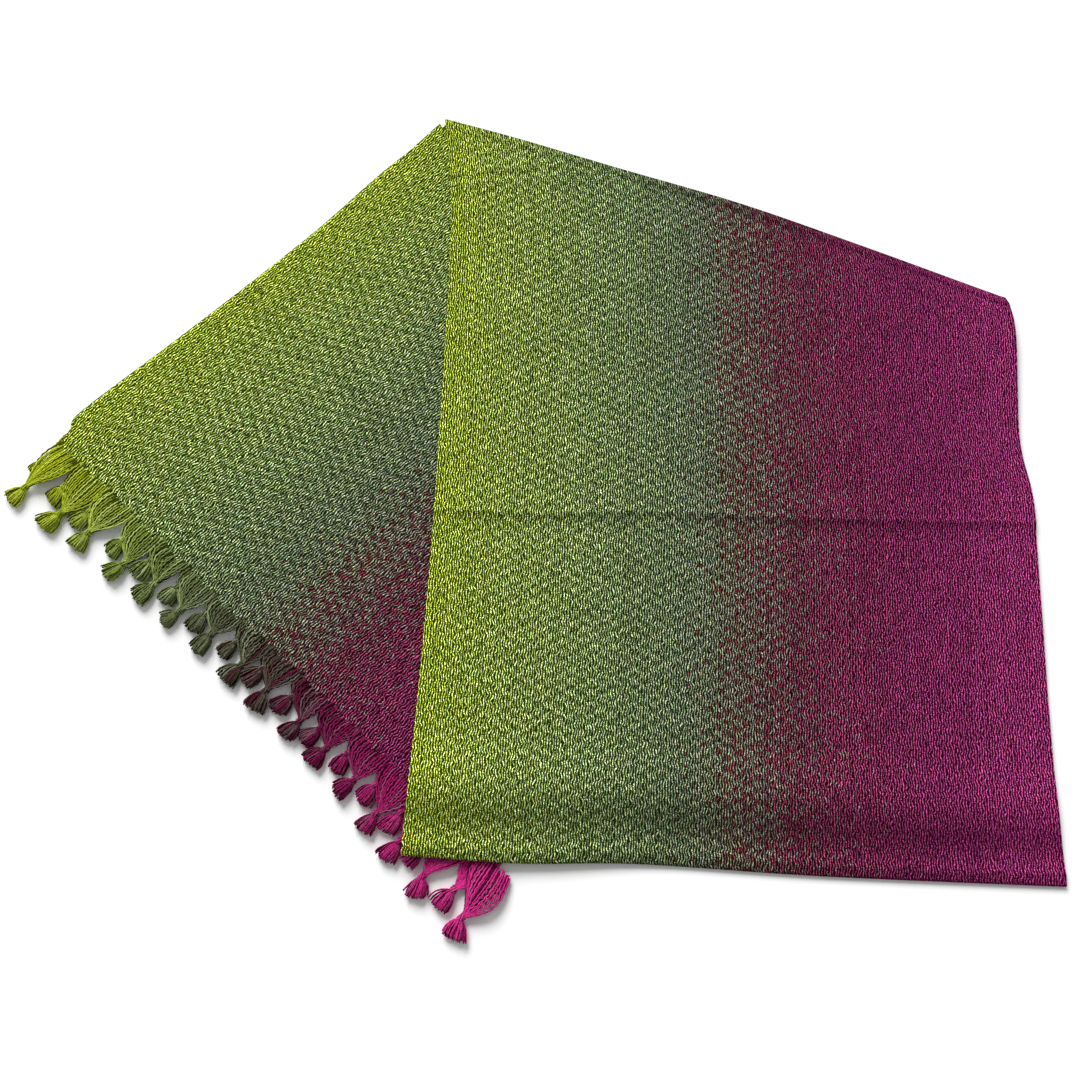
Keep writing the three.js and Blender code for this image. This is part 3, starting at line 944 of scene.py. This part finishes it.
SKIRT = ((0.5, 1.8, 2.0), (3.0, 4.6, 3.2), (6.5, 7.4, 3.8), (11.0, 9.2, 3.8), (15.5, 10.0, 3.3))
SKIRT_TIP = (10.0, 2.6)
SKIRT_REACH = 20
SKIRT_LEVELS = (-0.95, 0.95, 0.3, -0.3)
SKIRT_THICKNESS = (0.8, 0.9, 1, 1, 1, 0.85)
TASSEL_YARN = 0.9
SWEEP = 2.5
PLUMP = (0.84, 1.06)
FLARE = (0.8, 1.12)
ROUNDED = (0.4, 3.2)
CUT_SLIP = 1.5
CUT_SLOPE = 1.8
CUT_SPREAD = 3.0
SIDE_SLIP = 0.12
LEVEL_NARROWS = 0.62
STRAY_STRANDS = 0.5
STRAY_REACH = 2.4
WOBBLE = 0.5
HEIGHT_SLIP = 0.3
TURNED_UP = 1.1


def tassel(bm, layers, bundle, root, row, fringe, rng):
    """The bell of cut strands below a knot. Skirt rows are reach, half width and half height."""
    centre = in_frame(bundle.along, bundle.out, KNOT_HIGH)
    heading = math.radians(bundle.points)
    ahead = Vector((math.cos(heading), math.sin(heading), 0))
    aside = Vector((-ahead.y, ahead.x, 0))
    radius = fringe.yarn / MM / 2 * TASSEL_YARN
    low = -KNOT_HIGH + radius + FLOOR_GAP
    pitch = row.end.width / len(row.bundles)
    count = fringe.ends
    sweep = rng.uniform(-SWEEP, SWEEP)
    plump = rng.uniform(*PLUMP)
    flare = rng.uniform(*FLARE)
    rounded = rng.uniform(*ROUNDED)
    cut = rng.uniform(-CUT_SLIP, CUT_SLIP)
    slope = rng.uniform(-CUT_SLOPE, CUT_SLOPE)
    for k in range(count):
        levels = len(SKIRT_LEVELS)
        level = SKIRT_LEVELS[k % levels]
        side = ((k // levels + 0.5) / (count // levels)) * 2 - 1
        side = min(1.0, max(-1.0, side + rng.uniform(-SIDE_SLIP, SIDE_SLIP)))
        room = math.sqrt(max(0.0, 1 - (LEVEL_NARROWS * level) ** 2))
        tip = fringe.tassel / MM + cut + slope * side - rounded * side * side
        tip -= rng.uniform(0, CUT_SPREAD)
        stray = rng.gauss(0, STRAY_STRANDS)
        path = []
        for reach, half, high in [*SKIRT, (tip, *SKIRT_TIP)]:
            far = reach / SKIRT_REACH
            bend = sweep * far**2 + stray * far * STRAY_REACH
            bend += rng.uniform(-WOBBLE, WOBBLE) * min(1, far * 2)
            height = max(level * high * room + rng.uniform(-HEIGHT_SLIP, HEIGHT_SLIP), low)
            width = half * plump * room * mix(1.0, flare, far)
            spot = ahead * min(reach, tip) + aside * (side * width + bend)
            path.append(centre + spot + UP * height)
        radii = [radius * thickness for thickness in SKIRT_THICKNESS]
        start = root + rng.uniform(-0.5, 0.5) * pitch
        # Painted light: the lit side faces out of the tassel, up on upper strands and down on lower
        # ones, whose tops get painted shade.
        outward = UP * math.copysign(TURNED_UP - abs(side), level) + aside * side
        across = across_cloth(start, row)
        strand(bm, layers, doubled_ends(path), capped(radii), across, outward)


def fringe_row(name, row, fringe, material, seed):
    """All bundles of one woven end as one mesh."""
    rng = random.Random(seed)
    whole = bmesh.new()
    part = bpy.data.meshes.new("bundle")
    pitch = row.end.width / len(row.bundles)
    for k, bundle in enumerate(row.bundles):
        bm = bmesh.new()
        layers = [bm.loops.layers.uv.new(layer) for layer in ("weave", "twist")]
        root = row.end.slip + (k + 0.5) * pitch
        gathered_strands(bm, layers, bundle, root, row, fringe, rng)
        knot_wraps(bm, layers, bundle, root, row, fringe, rng)
        tassel(bm, layers, bundle, root, row, fringe, rng)
        bmesh.ops.remove_doubles(bm, verts=bm.verts, dist=1e-7)
        bmesh.ops.recalc_face_normals(bm, faces=bm.faces)
        bm.to_mesh(part)
        bm.free()
        whole.from_mesh(part)
    bpy.data.meshes.remove(part)
    return finish_mesh(name, whole, material)


# Materials

# The weave: grains in millimetres, the rest in thread spacings, floats or shares
WANDER_GRAIN = 6
WANDER_ASIDE = 1.3
WANDER_ALONG = 1.2
STRAY = 0.24
STRAY_BELOW = 0.8
LEAN_BELOW = 0.1
FLOAT_MIDDLE = 0.62
FLOAT_TIPS = 2.1
FLOAT_ROUND = 0.7
FLOAT_DIVE = 0.65
BELOW_HALF = 0.12
BELOW_GRAIN = (1.6, 3)
BELOW_SHOWS = (0.4, 0.6)
BELOW_HIGH = 0.4
BELOW_DIM = 0.25
BLOCK_THREADS = 4
TINT_RANGE = (0.22, 0.1, 0.38)
TINT_LEAST = (0.88, 0.96, 0.82)
CHANCE_LIGHT = (0.3, 0.84)
STREAK_GRAIN = (9, 500)
STREAK_LIGHT = 0.5
FIBRE_GRAIN = (0.8, 1.1)
FIBRE_LIGHT = (0.0, 1.96)
CONTRAST = 1.25
MOST_LIGHT = 2.6
COTTON_ROUGHNESS = 0.92

# The turn from green to red: where it begins and ends across the cloth, the odds of a red yarn
# there, and how much its lot, its place in three, its block and chance count
TURN_PLACES = (0.36, 0.8)
TURN_ODDS = (-0.32, 1.25)
LOT_COUNTS = 0.2
PLACE_COUNTS = 0.15
BLOCK_COUNTS = 0.3
CHANCE_COUNTS = 0.8

# The fringe's yarn: how rare and how pale worn strands are, the length of one turn of its plies and
# their relief, the light at its sides and where they end, and its fibres' places round, along and
# between strands. Each pair of lights is a slope and a least light, or a least and a most.
WORN_FROM = 0.78
WORN_SHARE = 0.45
PLY_TURN = 3
PLY_LIGHT = (0.4, 0.6)
PLY_RELIEF = 0.2
PLY_BUMP = 0.8
SIDE_LIGHT = 0.12
SIDE_ENDS = 0.9
YARN_FIBRE = (4.0, 1.4, 0.3)
YARN_FIBRE_LIGHT = (0.3, 1.4)
YARN_CHANCE_LIGHT = (0.7, 0.7)
YARN_ROUGHNESS = 0.9
NOISE_MIDDLE = (0.3, 0.7)


def add_node(tree, kind, *inputs, stops=(), **settings):
    """Add a node with its settings and links, and its stops where it is a colour ramp.

    inputs are values or other nodes' outputs in order, or one dictionary of them by socket. A stop
    is a place and an sRGB code. Gives the node's outputs. Where a Mix node mixes colours, its share
    is input 0, the two colours are inputs 6 and 7, and the result is output 2.
    """
    node = tree.nodes.new("ShaderNode" + kind)
    for name, value in settings.items():
        setattr(node, name, value)
    by_socket = inputs[0] if inputs and isinstance(inputs[0], dict) else dict(enumerate(inputs))
    for key, value in by_socket.items():
        if isinstance(value, bpy.types.NodeSocket):
            tree.links.new(value, node.inputs[key])
        else:
            node.inputs[key].default_value = value
    if stops:
        elements = node.color_ramp.elements
        elements[0].position, elements[1].position = stops[0][0], stops[-1][0]
        elements[0].color, elements[1].color = linear(stops[0][1]), linear(stops[-1][1])
        for place_on_ramp, code in stops[1:-1]:
            elements.new(place_on_ramp).color = linear(code)
    return node.outputs


def new_material(name):
    """A material with no nodes yet, and the function that adds one to it."""
    material = bpy.data.materials.new(name)
    material.use_nodes = True
    material.node_tree.nodes.clear()
    return material, functools.partial(add_node, material.node_tree)


def grains(add, uv, size, detail=1.0):
    """Noise on the cloth whose grains have this width and length, in millimetres."""
    scale = (1 / (size[0] * MM), 1 / (size[1] * MM), 1.0)
    spot = add("Mapping", {"Vector": uv, "Scale": scale})["Vector"]
    inputs = {"Vector": spot, "Scale": 1.0, "Detail": detail}
    return add("TexNoise", inputs, noise_dimensions="2D")["Fac"]


def painted_shade(add, light, near, loss):
    """Light with a share of it lost where a band is near: painted shade."""
    kept = add("Math", near, -loss, 1.0, operation="MULTIPLY_ADD")[0]
    return add("Math", light, kept, operation="MULTIPLY")[0]


def matt_surface(add, base, roughness, height, depth, strength):
    """A surface without gloss and its bump, as the material's output."""
    bump = add("Bump", {"Height": height, "Distance": depth, "Strength": strength})["Normal"]
    inputs = {"Base Color": base, "Roughness": roughness, "Specular IOR Level": 0.0, "Normal": bump}
    surface = add("BsdfPrincipled", inputs)["BSDF"]
    add("OutputMaterial", {"Surface": surface})


def is_red_yarn(add, share, thread, block, chance):
    """Whether a thread is one of the red yarns.

    The warp was laid in threes. From green to red, one of three turns first, then the next, and the
    pale third one last. They turn sooner in every other block of the weave. Which of its two
    plies shows at a float is chance.
    """
    thirds = add("Math", thread, 1 / 3, operation="MULTIPLY")[0]
    triple = add("Math", thirds, operation="FLOOR")[0]
    turn = add("Math", thread, 3.0, operation="FLOORED_MODULO")[0]
    by_place = add("Math", turn, PLACE_COUNTS, operation="MULTIPLY")[0]
    lot = add("TexWhiteNoise", {"W": triple}, noise_dimensions="1D")["Value"]
    lot = add("Math", lot, LOT_COUNTS, by_place, operation="MULTIPLY_ADD")[0]
    lot = add("Math", block, -BLOCK_COUNTS, lot, operation="MULTIPLY_ADD")[0]
    lot = add("Math", chance, CHANCE_COUNTS, lot, operation="MULTIPLY_ADD")[0]
    odds = add("MapRange", share, *TURN_PLACES, *TURN_ODDS)["Result"]
    return add("Math", odds, lot, operation="GREATER_THAN")[0]


def into_slant_shade(add, shade_band):
    """How far into the slanting painted shade a place is, from nothing at its beginning to one."""
    line = Vector(SLANT_FOLD[-1]) - Vector(SLANT_FOLD[0])
    outward = Vector((-line.y, line.x, 0)).normalized()
    start = place(Vector(SLANT_FOLD[0]), 0)
    here = add("TexCoord")["Object"]
    spot = add("VectorMath", here, start, operation="SUBTRACT")[0]
    out = add("VectorMath", spot, outward, operation="DOT_PRODUCT")["Value"]
    ends = shade_band.begins * MM, shade_band.full * MM
    return add("MapRange", out, *ends, interpolation_type="SMOOTHSTEP")["Result"]


def woven_cotton(name, cloth, shade_bands=(), slant=None):
    """Handwoven cotton in a crepe weave: a dull surface with no gloss, since its loose floats
    scatter light, and deep gaps painted in shade. shade_bands and slant are bands of painted shade.
    """
    material, add = new_material(name)
    uv = add("UVMap", uv_map="weave")["UV"]
    place_on_cloth = add("SeparateXYZ", uv)
    across, along = place_on_cloth["X"], place_on_cloth["Y"]
    share = add("Math", across, CLOTH_WIDTH * MM, operation="DIVIDE")[0]

    # The threads wander: their crossings are beaten up by hand and shrink unevenly.
    wander = {"Vector": uv, "Scale": 1 / (WANDER_GRAIN * MM), "Detail": 3.0}
    wander = add("SeparateXYZ", add("TexNoise", wander, noise_dimensions="2D")["Color"])
    sideways = add("Math", wander["X"], WANDER_ASIDE, -WANDER_ASIDE / 2, operation="MULTIPLY_ADD")[0]
    endways = add("Math", wander["Y"], WANDER_ALONG, -WANDER_ALONG / 2, operation="MULTIPLY_ADD")[0]
    in_floats = add("Math", along, 1 / cloth.float_length, endways, operation="MULTIPLY_ADD")[0]

    # All threads lean left over one float and right over the next, so they run on as zigzags.
    zigzag = add("Math", in_floats, 1.0, operation="PINGPONG")[0]
    zigzag = add("Math", zigzag, 2 * cloth.lean, sideways, operation="MULTIPLY_ADD")[0]
    in_threads = add("Math", across, 1 / cloth.thread, zigzag, operation="MULTIPLY_ADD")[0]

    # Each thread's floats start half a float further on than its neighbour's, more or less.
    thread = add("Math", in_threads, operation="FLOOR")[0]
    odd = add("Math", thread, 2.0, operation="FLOORED_MODULO")[0]
    loose = add("TexWhiteNoise", {"W": thread}, noise_dimensions="1D")["Value"]
    start = add("Math", odd, 0.5, in_floats, operation="MULTIPLY_ADD")[0]
    start = add("Math", loose, 0.5, start, operation="MULTIPLY_ADD")[0]
    pick = add("Math", start, operation="FLOOR")[0]
    up = add("Math", start, operation="FRACT")[0]
    up = add("Math", up, 0.5, operation="SUBTRACT")[0]

    # Each thread also strays a little by itself.
    stray = add("Math", start, 1.0, operation="PINGPONG")[0]
    stray = add("Math", stray, STRAY, operation="MULTIPLY")[0]
    aside = add("Math", in_threads, operation="FRACT")[0]
    aside = add("Math", aside, FLOAT_MIDDLE, operation="SUBTRACT")[0]
    aside = add("Math", aside, stray, operation="ADD")[0]

    # A float's round body: one in its middle, nothing at its sides, low where it dives.
    wide = add("Math", aside, cloth.cover, operation="DIVIDE")[0]
    wide = add("Math", wide, 2.0, operation="POWER")[0]
    long = add("Math", up, FLOAT_TIPS, operation="MULTIPLY")[0]
    long = add("Math", long, 4.0, operation="POWER")[0]
    body = add("Math", 1.0, wide, operation="SUBTRACT", use_clamp=True)[0]
    body = add("Math", body, FLOAT_ROUND, operation="POWER")[0]
    arch = add("Math", long, -FLOAT_DIVE, 1.0, operation="MULTIPLY_ADD", use_clamp=True)[0]
    body = add("Math", body, arch, operation="MULTIPLY")[0]

    # The threads of the layer below show in the gaps, here and there, and lean the other way.
    between = add("Math", in_threads, 0.5, operation="ADD")[0]
    between = add("Math", between, operation="FRACT")[0]
    between = add("Math", between, 0.5, operation="SUBTRACT")[0]
    leaning = add("Math", stray, STRAY_BELOW, -LEAN_BELOW, operation="MULTIPLY_ADD")[0]
    between = add("Math", between, leaning, operation="SUBTRACT")[0]
    thin = add("Math", between, BELOW_HALF, operation="DIVIDE")[0]
    thin = add("Math", thin, 2.0, operation="POWER")[0]
    thin = add("Math", 1.0, thin, operation="SUBTRACT", use_clamp=True)[0]
    below = add("MapRange", grains(add, uv, BELOW_GRAIN), *BELOW_SHOWS)["Result"]
    below = add("Math", below, thin, operation="MULTIPLY")[0]
    raised = add("Math", below, BELOW_HIGH, operation="MULTIPLY")[0]
    height = add("Math", body, raised, operation="MAXIMUM")[0]

    # Blocks of a few threads by one float change places, like a chequerboard.
    cell = add("CombineXYZ", thread, pick)[0]
    draw = add("TexWhiteNoise", {"Vector": cell}, noise_dimensions="2D")
    chance = draw["Value"]
    column = add("Math", thread, 1 / BLOCK_THREADS, operation="MULTIPLY")[0]
    column = add("Math", column, operation="FLOOR")[0]
    row = add("Math", in_floats, operation="FLOOR")[0]
    block = add("Math", column, row, operation="ADD")[0]
    block = add("Math", block, 2.0, operation="FLOORED_MODULO")[0]
    red = is_red_yarn(add, share, thread, block, chance)
    runs = GREEN_YARNS, GREY_YARNS, RED_YARNS, SHADE
    green, grey, pink, shade = (add("ValToRGB", share, stops=run)["Color"] for run in runs)
    colour = add("Mix", {0: block, 6: green, 7: grey}, data_type="RGBA")[2]
    colour = add("Mix", {0: red, 6: colour, 7: pink}, data_type="RGBA")[2]

    # The yarn was dyed in the hank, so its hue differs from float to float.
    tint = add("VectorMath", draw["Color"], TINT_RANGE, TINT_LEAST, operation="MULTIPLY_ADD")[0]
    colour = add("VectorMath", colour, tint, operation="MULTIPLY")[0]

    # Its dye also differs in long streaks along the warp.
    light = add("Math", chance, *CHANCE_LIGHT, operation="MULTIPLY_ADD")[0]
    streaks = grains(add, uv, STREAK_GRAIN, 2.0)
    light = add("Math", streaks, STREAK_LIGHT, light, operation="MULTIPLY_ADD")[0]

    # Loose fibres catch the light in grains finer than a float.
    grain = grains(add, uv, FIBRE_GRAIN)
    grain = add("MapRange", grain, *NOISE_MIDDLE, *FIBRE_LIGHT)["Result"]
    light = add("Math", light, grain, operation="MULTIPLY")[0]
    light = add("Math", light, CONTRAST, operation="POWER")[0]
    light = add("Math", light, MOST_LIGHT, operation="MINIMUM")[0]

    # Bands of painted shade beside the folds: across the warp by the half fold, and along the slant.
    for shade_band in shade_bands:
        away = add("Math", along, shade_band.middle * MM, operation="SUBTRACT")[0]
        away = add("Math", away, operation="ABSOLUTE")[0]
        fall = -1 / (shade_band.half * MM)
        near = add("Math", away, fall, 1.0, operation="MULTIPLY_ADD", use_clamp=True)[0]
        light = painted_shade(add, light, near, shade_band.loss)
    if slant:
        light = painted_shade(add, light, into_slant_shade(add, slant), slant.loss)
    # Painted shade in the gaps: the shade colour, and the threads below at BELOW_DIM of their
    # colour.
    dim = add("VectorMath", {0: colour, "Scale": BELOW_DIM}, operation="SCALE")[0]
    bright = add("VectorMath", {0: colour, "Scale": light}, operation="SCALE")[0]
    gap = add("Mix", {0: below, 6: shade, 7: dim}, data_type="RGBA")[2]
    base = add("Mix", {0: body, 6: gap, 7: bright}, data_type="RGBA")[2]
    matt_surface(add, base, COTTON_ROUGHNESS, height, cloth.relief, 1.0)
    return material


def twisted_yarn(name, cloth):
    """Loose two-ply cotton yarn: dull and slightly furry, with its plies' shadow along it."""
    material, add = new_material(name)
    uv = add("UVMap", uv_map="weave")["UV"]
    across = add("SeparateXYZ", uv)["X"]
    share = add("Math", across, CLOTH_WIDTH * MM, operation="DIVIDE")[0]
    thread = add("Math", across, cloth.thread, operation="DIVIDE")[0]
    thread = add("Math", thread, operation="FLOOR")[0]
    chance = add("TexWhiteNoise", {"W": across}, noise_dimensions="1D")["Value"]
    red = is_red_yarn(add, share, thread, 0.5, chance)
    runs = GREEN_FRINGE, RED_FRINGE, GREEN_YARNS, SHADE
    green, pink, pale, shade = (add("ValToRGB", share, stops=run)["Color"] for run in runs)
    colour = add("Mix", {0: red, 6: green, 7: pink}, data_type="RGBA")[2]

    # Every few strands one is worn as pale as the cloth.
    worn = add("Math", chance, WORN_FROM, operation="GREATER_THAN")[0]
    worn = add("Math", worn, WORN_SHARE, operation="MULTIPLY")[0]
    colour = add("Mix", {0: worn, 6: colour, 7: pale}, data_type="RGBA")[2]

    # Two plies go round the strand.
    twist = add("UVMap", uv_map="twist")["UV"]
    place_on_strand = add("SeparateXYZ", twist)
    around, reach = place_on_strand["X"], place_on_strand["Y"]
    ply = add("Math", reach, 1 / (PLY_TURN * MM), around, operation="MULTIPLY_ADD")[0]
    ply = add("Math", ply, 2 * math.pi, operation="MULTIPLY")[0]
    ply = add("Math", ply, operation="SINE")[0]
    ply = add("Math", ply, operation="ABSOLUTE")[0]

    # Painted shade: its sides are painted darker than the side that faces outward, as they lie deep
    # between its neighbours, whose fibres keep the light out.
    side_shade = add("Math", around, 2 * math.pi, operation="MULTIPLY")[0]
    side_shade = add("Math", side_shade, operation="COSINE")[0]
    side_shade = add("MapRange", side_shade, 0.0, SIDE_ENDS, SIDE_LIGHT, 1.0)["Result"]

    # Its fibres catch the light one by one.
    rounds, length, apart = YARN_FIBRE
    spot = add(
        "CombineXYZ",
        add("Math", around, rounds, operation="MULTIPLY")[0],
        add("Math", reach, 1 / (length * MM), operation="MULTIPLY")[0],
        add("Math", across, 1 / (apart * MM), operation="MULTIPLY")[0],
    )[0]
    fibre = add("TexNoise", {"Vector": spot, "Scale": 1.0, "Detail": 1.0})["Fac"]
    fibre = add("MapRange", fibre, *NOISE_MIDDLE, *YARN_FIBRE_LIGHT)["Result"]
    light = add("Math", chance, *YARN_CHANCE_LIGHT, operation="MULTIPLY_ADD")[0]
    light = add("Math", light, fibre, operation="MULTIPLY")[0]
    light = add("Math", light, side_shade, operation="MULTIPLY")[0]
    tone = add("Math", ply, *PLY_LIGHT, operation="MULTIPLY_ADD")[0]
    tone = add("Math", tone, light, operation="MULTIPLY")[0]
    base = add("Mix", {0: tone, 6: shade, 7: colour}, data_type="RGBA")[2]
    matt_surface(add, base, YARN_ROUGHNESS, ply, PLY_RELIEF * MM, PLY_BUMP)
    return material


def plain_paper(name, colour):
    """Matt white paper: an even pale ground."""
    material, add = new_material(name)
    surface = add("BsdfPrincipled", {"Base Color": colour, "Roughness": 0.9})["BSDF"]
    add("OutputMaterial", {"Surface": surface})
    return material


# Operators


class SCARF_OT_front_panel(bpy.types.Operator):
    """Make the front panel, the top layer of the fold"""

    bl_idname = "scarf.front_panel"
    bl_label = "Front panel"

    def execute(self, context):
        cloth = context.scene.scarf_cloth
        material = woven_cotton("front_woven_cotton", cloth, FRONT_FOLD_SHADE, SLANT_FOLD_SHADE)
        piece = front_panel(cloth, material)
        ride_and_replace(piece, "front_cloth", "front_panel")
        lengths = [warp_length(k / 10) + PAIR + STACK for k in range(11)]
        return {"FINISHED"}


class SCARF_OT_back_panel(bpy.types.Operator):
    """Make the back panel with its fringe, the stretch that shows at the left"""

    bl_idname = "scarf.back_panel"
    bl_label = "Back panel"

    def execute(self, context):
        scene = context.scene
        piece = back_panel(scene.scarf_cloth, woven_cotton("back_woven_cotton", scene.scarf_cloth))
        ride_and_replace(piece, "back_cloth", "back_panel")
        yarn = twisted_yarn("upper_cotton_yarn", scene.scarf_cloth)
        fringe = fringe_row("upper_fringe", UPPER_ROW, scene.scarf_fringe, yarn, seed=4)
        ride_and_replace(fringe, "warp_yarn", "fringe_upper")
        side = Outline(BACK_LIME_EDGE).reach[-1]
        return {"FINISHED"}


class SCARF_OT_hidden_layers(bpy.types.Operator):
    """Make the layer below the front panel, and the bottom layer with its fringe"""

    bl_idname = "scarf.hidden_layers"
    bl_label = "Hidden layers"

    def execute(self, context):
        scene = context.scene
        material = woven_cotton("under_woven_cotton", scene.scarf_cloth)
        under = under_layer(scene.scarf_cloth, material)
        ride_and_replace(under, "under_cloth", "hidden_layers")
        lengths = [warp_length(k / 10) + TUCK for k in range(11)]
        bottom = bottom_layer(scene.scarf_cloth, material)
        ride_and_replace(bottom, "under_cloth", "hidden_layers")
        yarn = twisted_yarn("lower_cotton_yarn", scene.scarf_cloth)
        fringe = fringe_row("lower_fringe", LOWER_ROW, scene.scarf_fringe, yarn, seed=9)
        ride_and_replace(fringe, "warp_yarn", "fringe_lower")
        short_side = Outline(BACK_LIME_EDGE).reach[-1]
        return {"FINISHED"}


class SCARF_OT_stage(bpy.types.Operator):
    """Make the pale surface, the soft light and the camera"""

    bl_idname = "scarf.stage"
    bl_label = "Stage"

    def execute(self, context):
        scene = context.scene
        finish = scene.scarf_finish
        bm = bmesh.new()
        bmesh.ops.create_grid(bm, x_segments=1, y_segments=1, size=FLOOR_HALF)
        floor = finish_mesh("floor", bm, plain_paper("floor_paper", finish.floor))
        floor.data.transform(floor.matrix_world.Translation(Vector((0, 0, -FLOOR_DROP * MM))))
        world = bpy.data.worlds.new("even_light")
        world.use_nodes = True
        world.node_tree.nodes["Background"].inputs["Strength"].default_value = finish.sky
        world.node_tree.nodes["Background"].inputs["Color"].default_value = (1, 1, 1, 1)
        scene.world = world
        key = bpy.data.lights.new("soft_key", "SUN")
        key.energy = finish.key
        key.angle = math.radians(KEY_SOFTNESS)
        lamp = bpy.data.objects.new("soft_key", key)
        lamp.rotation_euler = Vector(KEY_COMES_FROM).to_track_quat("Z", "Y").to_euler()
        context.collection.objects.link(lamp)
        camera = bpy.data.objects.new("camera", bpy.data.cameras.new("camera"))
        camera.data.lens = CAMERA_LENS
        camera.location = CAMERA_PLACE
        camera.rotation_euler = (math.radians(CAMERA_TILT), 0, 0)
        context.collection.objects.link(camera)
        scene.camera = camera
        scene.view_settings.view_transform = "Standard"
        return {"FINISHED"}


class SCARF_PT_panel(bpy.types.Panel):
    """Makes the scarf piece by piece"""

    bl_label = "Scarf"
    bl_space_type = "VIEW_3D"
    bl_region_type = "UI"
    bl_category = "Scarf"

    def draw(self, context):
        for operator in OPERATORS:
            self.layout.operator(operator.bl_idname)


OPERATORS = (
    SCARF_OT_stage,
    SCARF_OT_hidden_layers,
    SCARF_OT_back_panel,
    SCARF_OT_front_panel,
)
SETTINGS = {
    "scarf_cloth": ClothSettings,
    "scarf_fringe": FringeSettings,
    "scarf_finish": FinishSettings,
}


def register():
    for kind in (*SETTINGS.values(), *OPERATORS, SCARF_PT_panel):
        bpy.utils.register_class(kind)
    for name, kind in SETTINGS.items():
        setattr(bpy.types.Scene, name, PointerProperty(type=kind))


def unregister():
    for name in SETTINGS:
        delattr(bpy.types.Scene, name)
    for kind in (SCARF_PT_panel, *reversed(OPERATORS), *SETTINGS.values()):
        bpy.utils.unregister_class(kind)


def main():
    register()
    bpy.ops.scarf.stage()
    bpy.ops.scarf.hidden_layers()
    bpy.ops.scarf.back_panel()
    bpy.ops.scarf.front_panel()


if __name__ == "__main__":
    main()
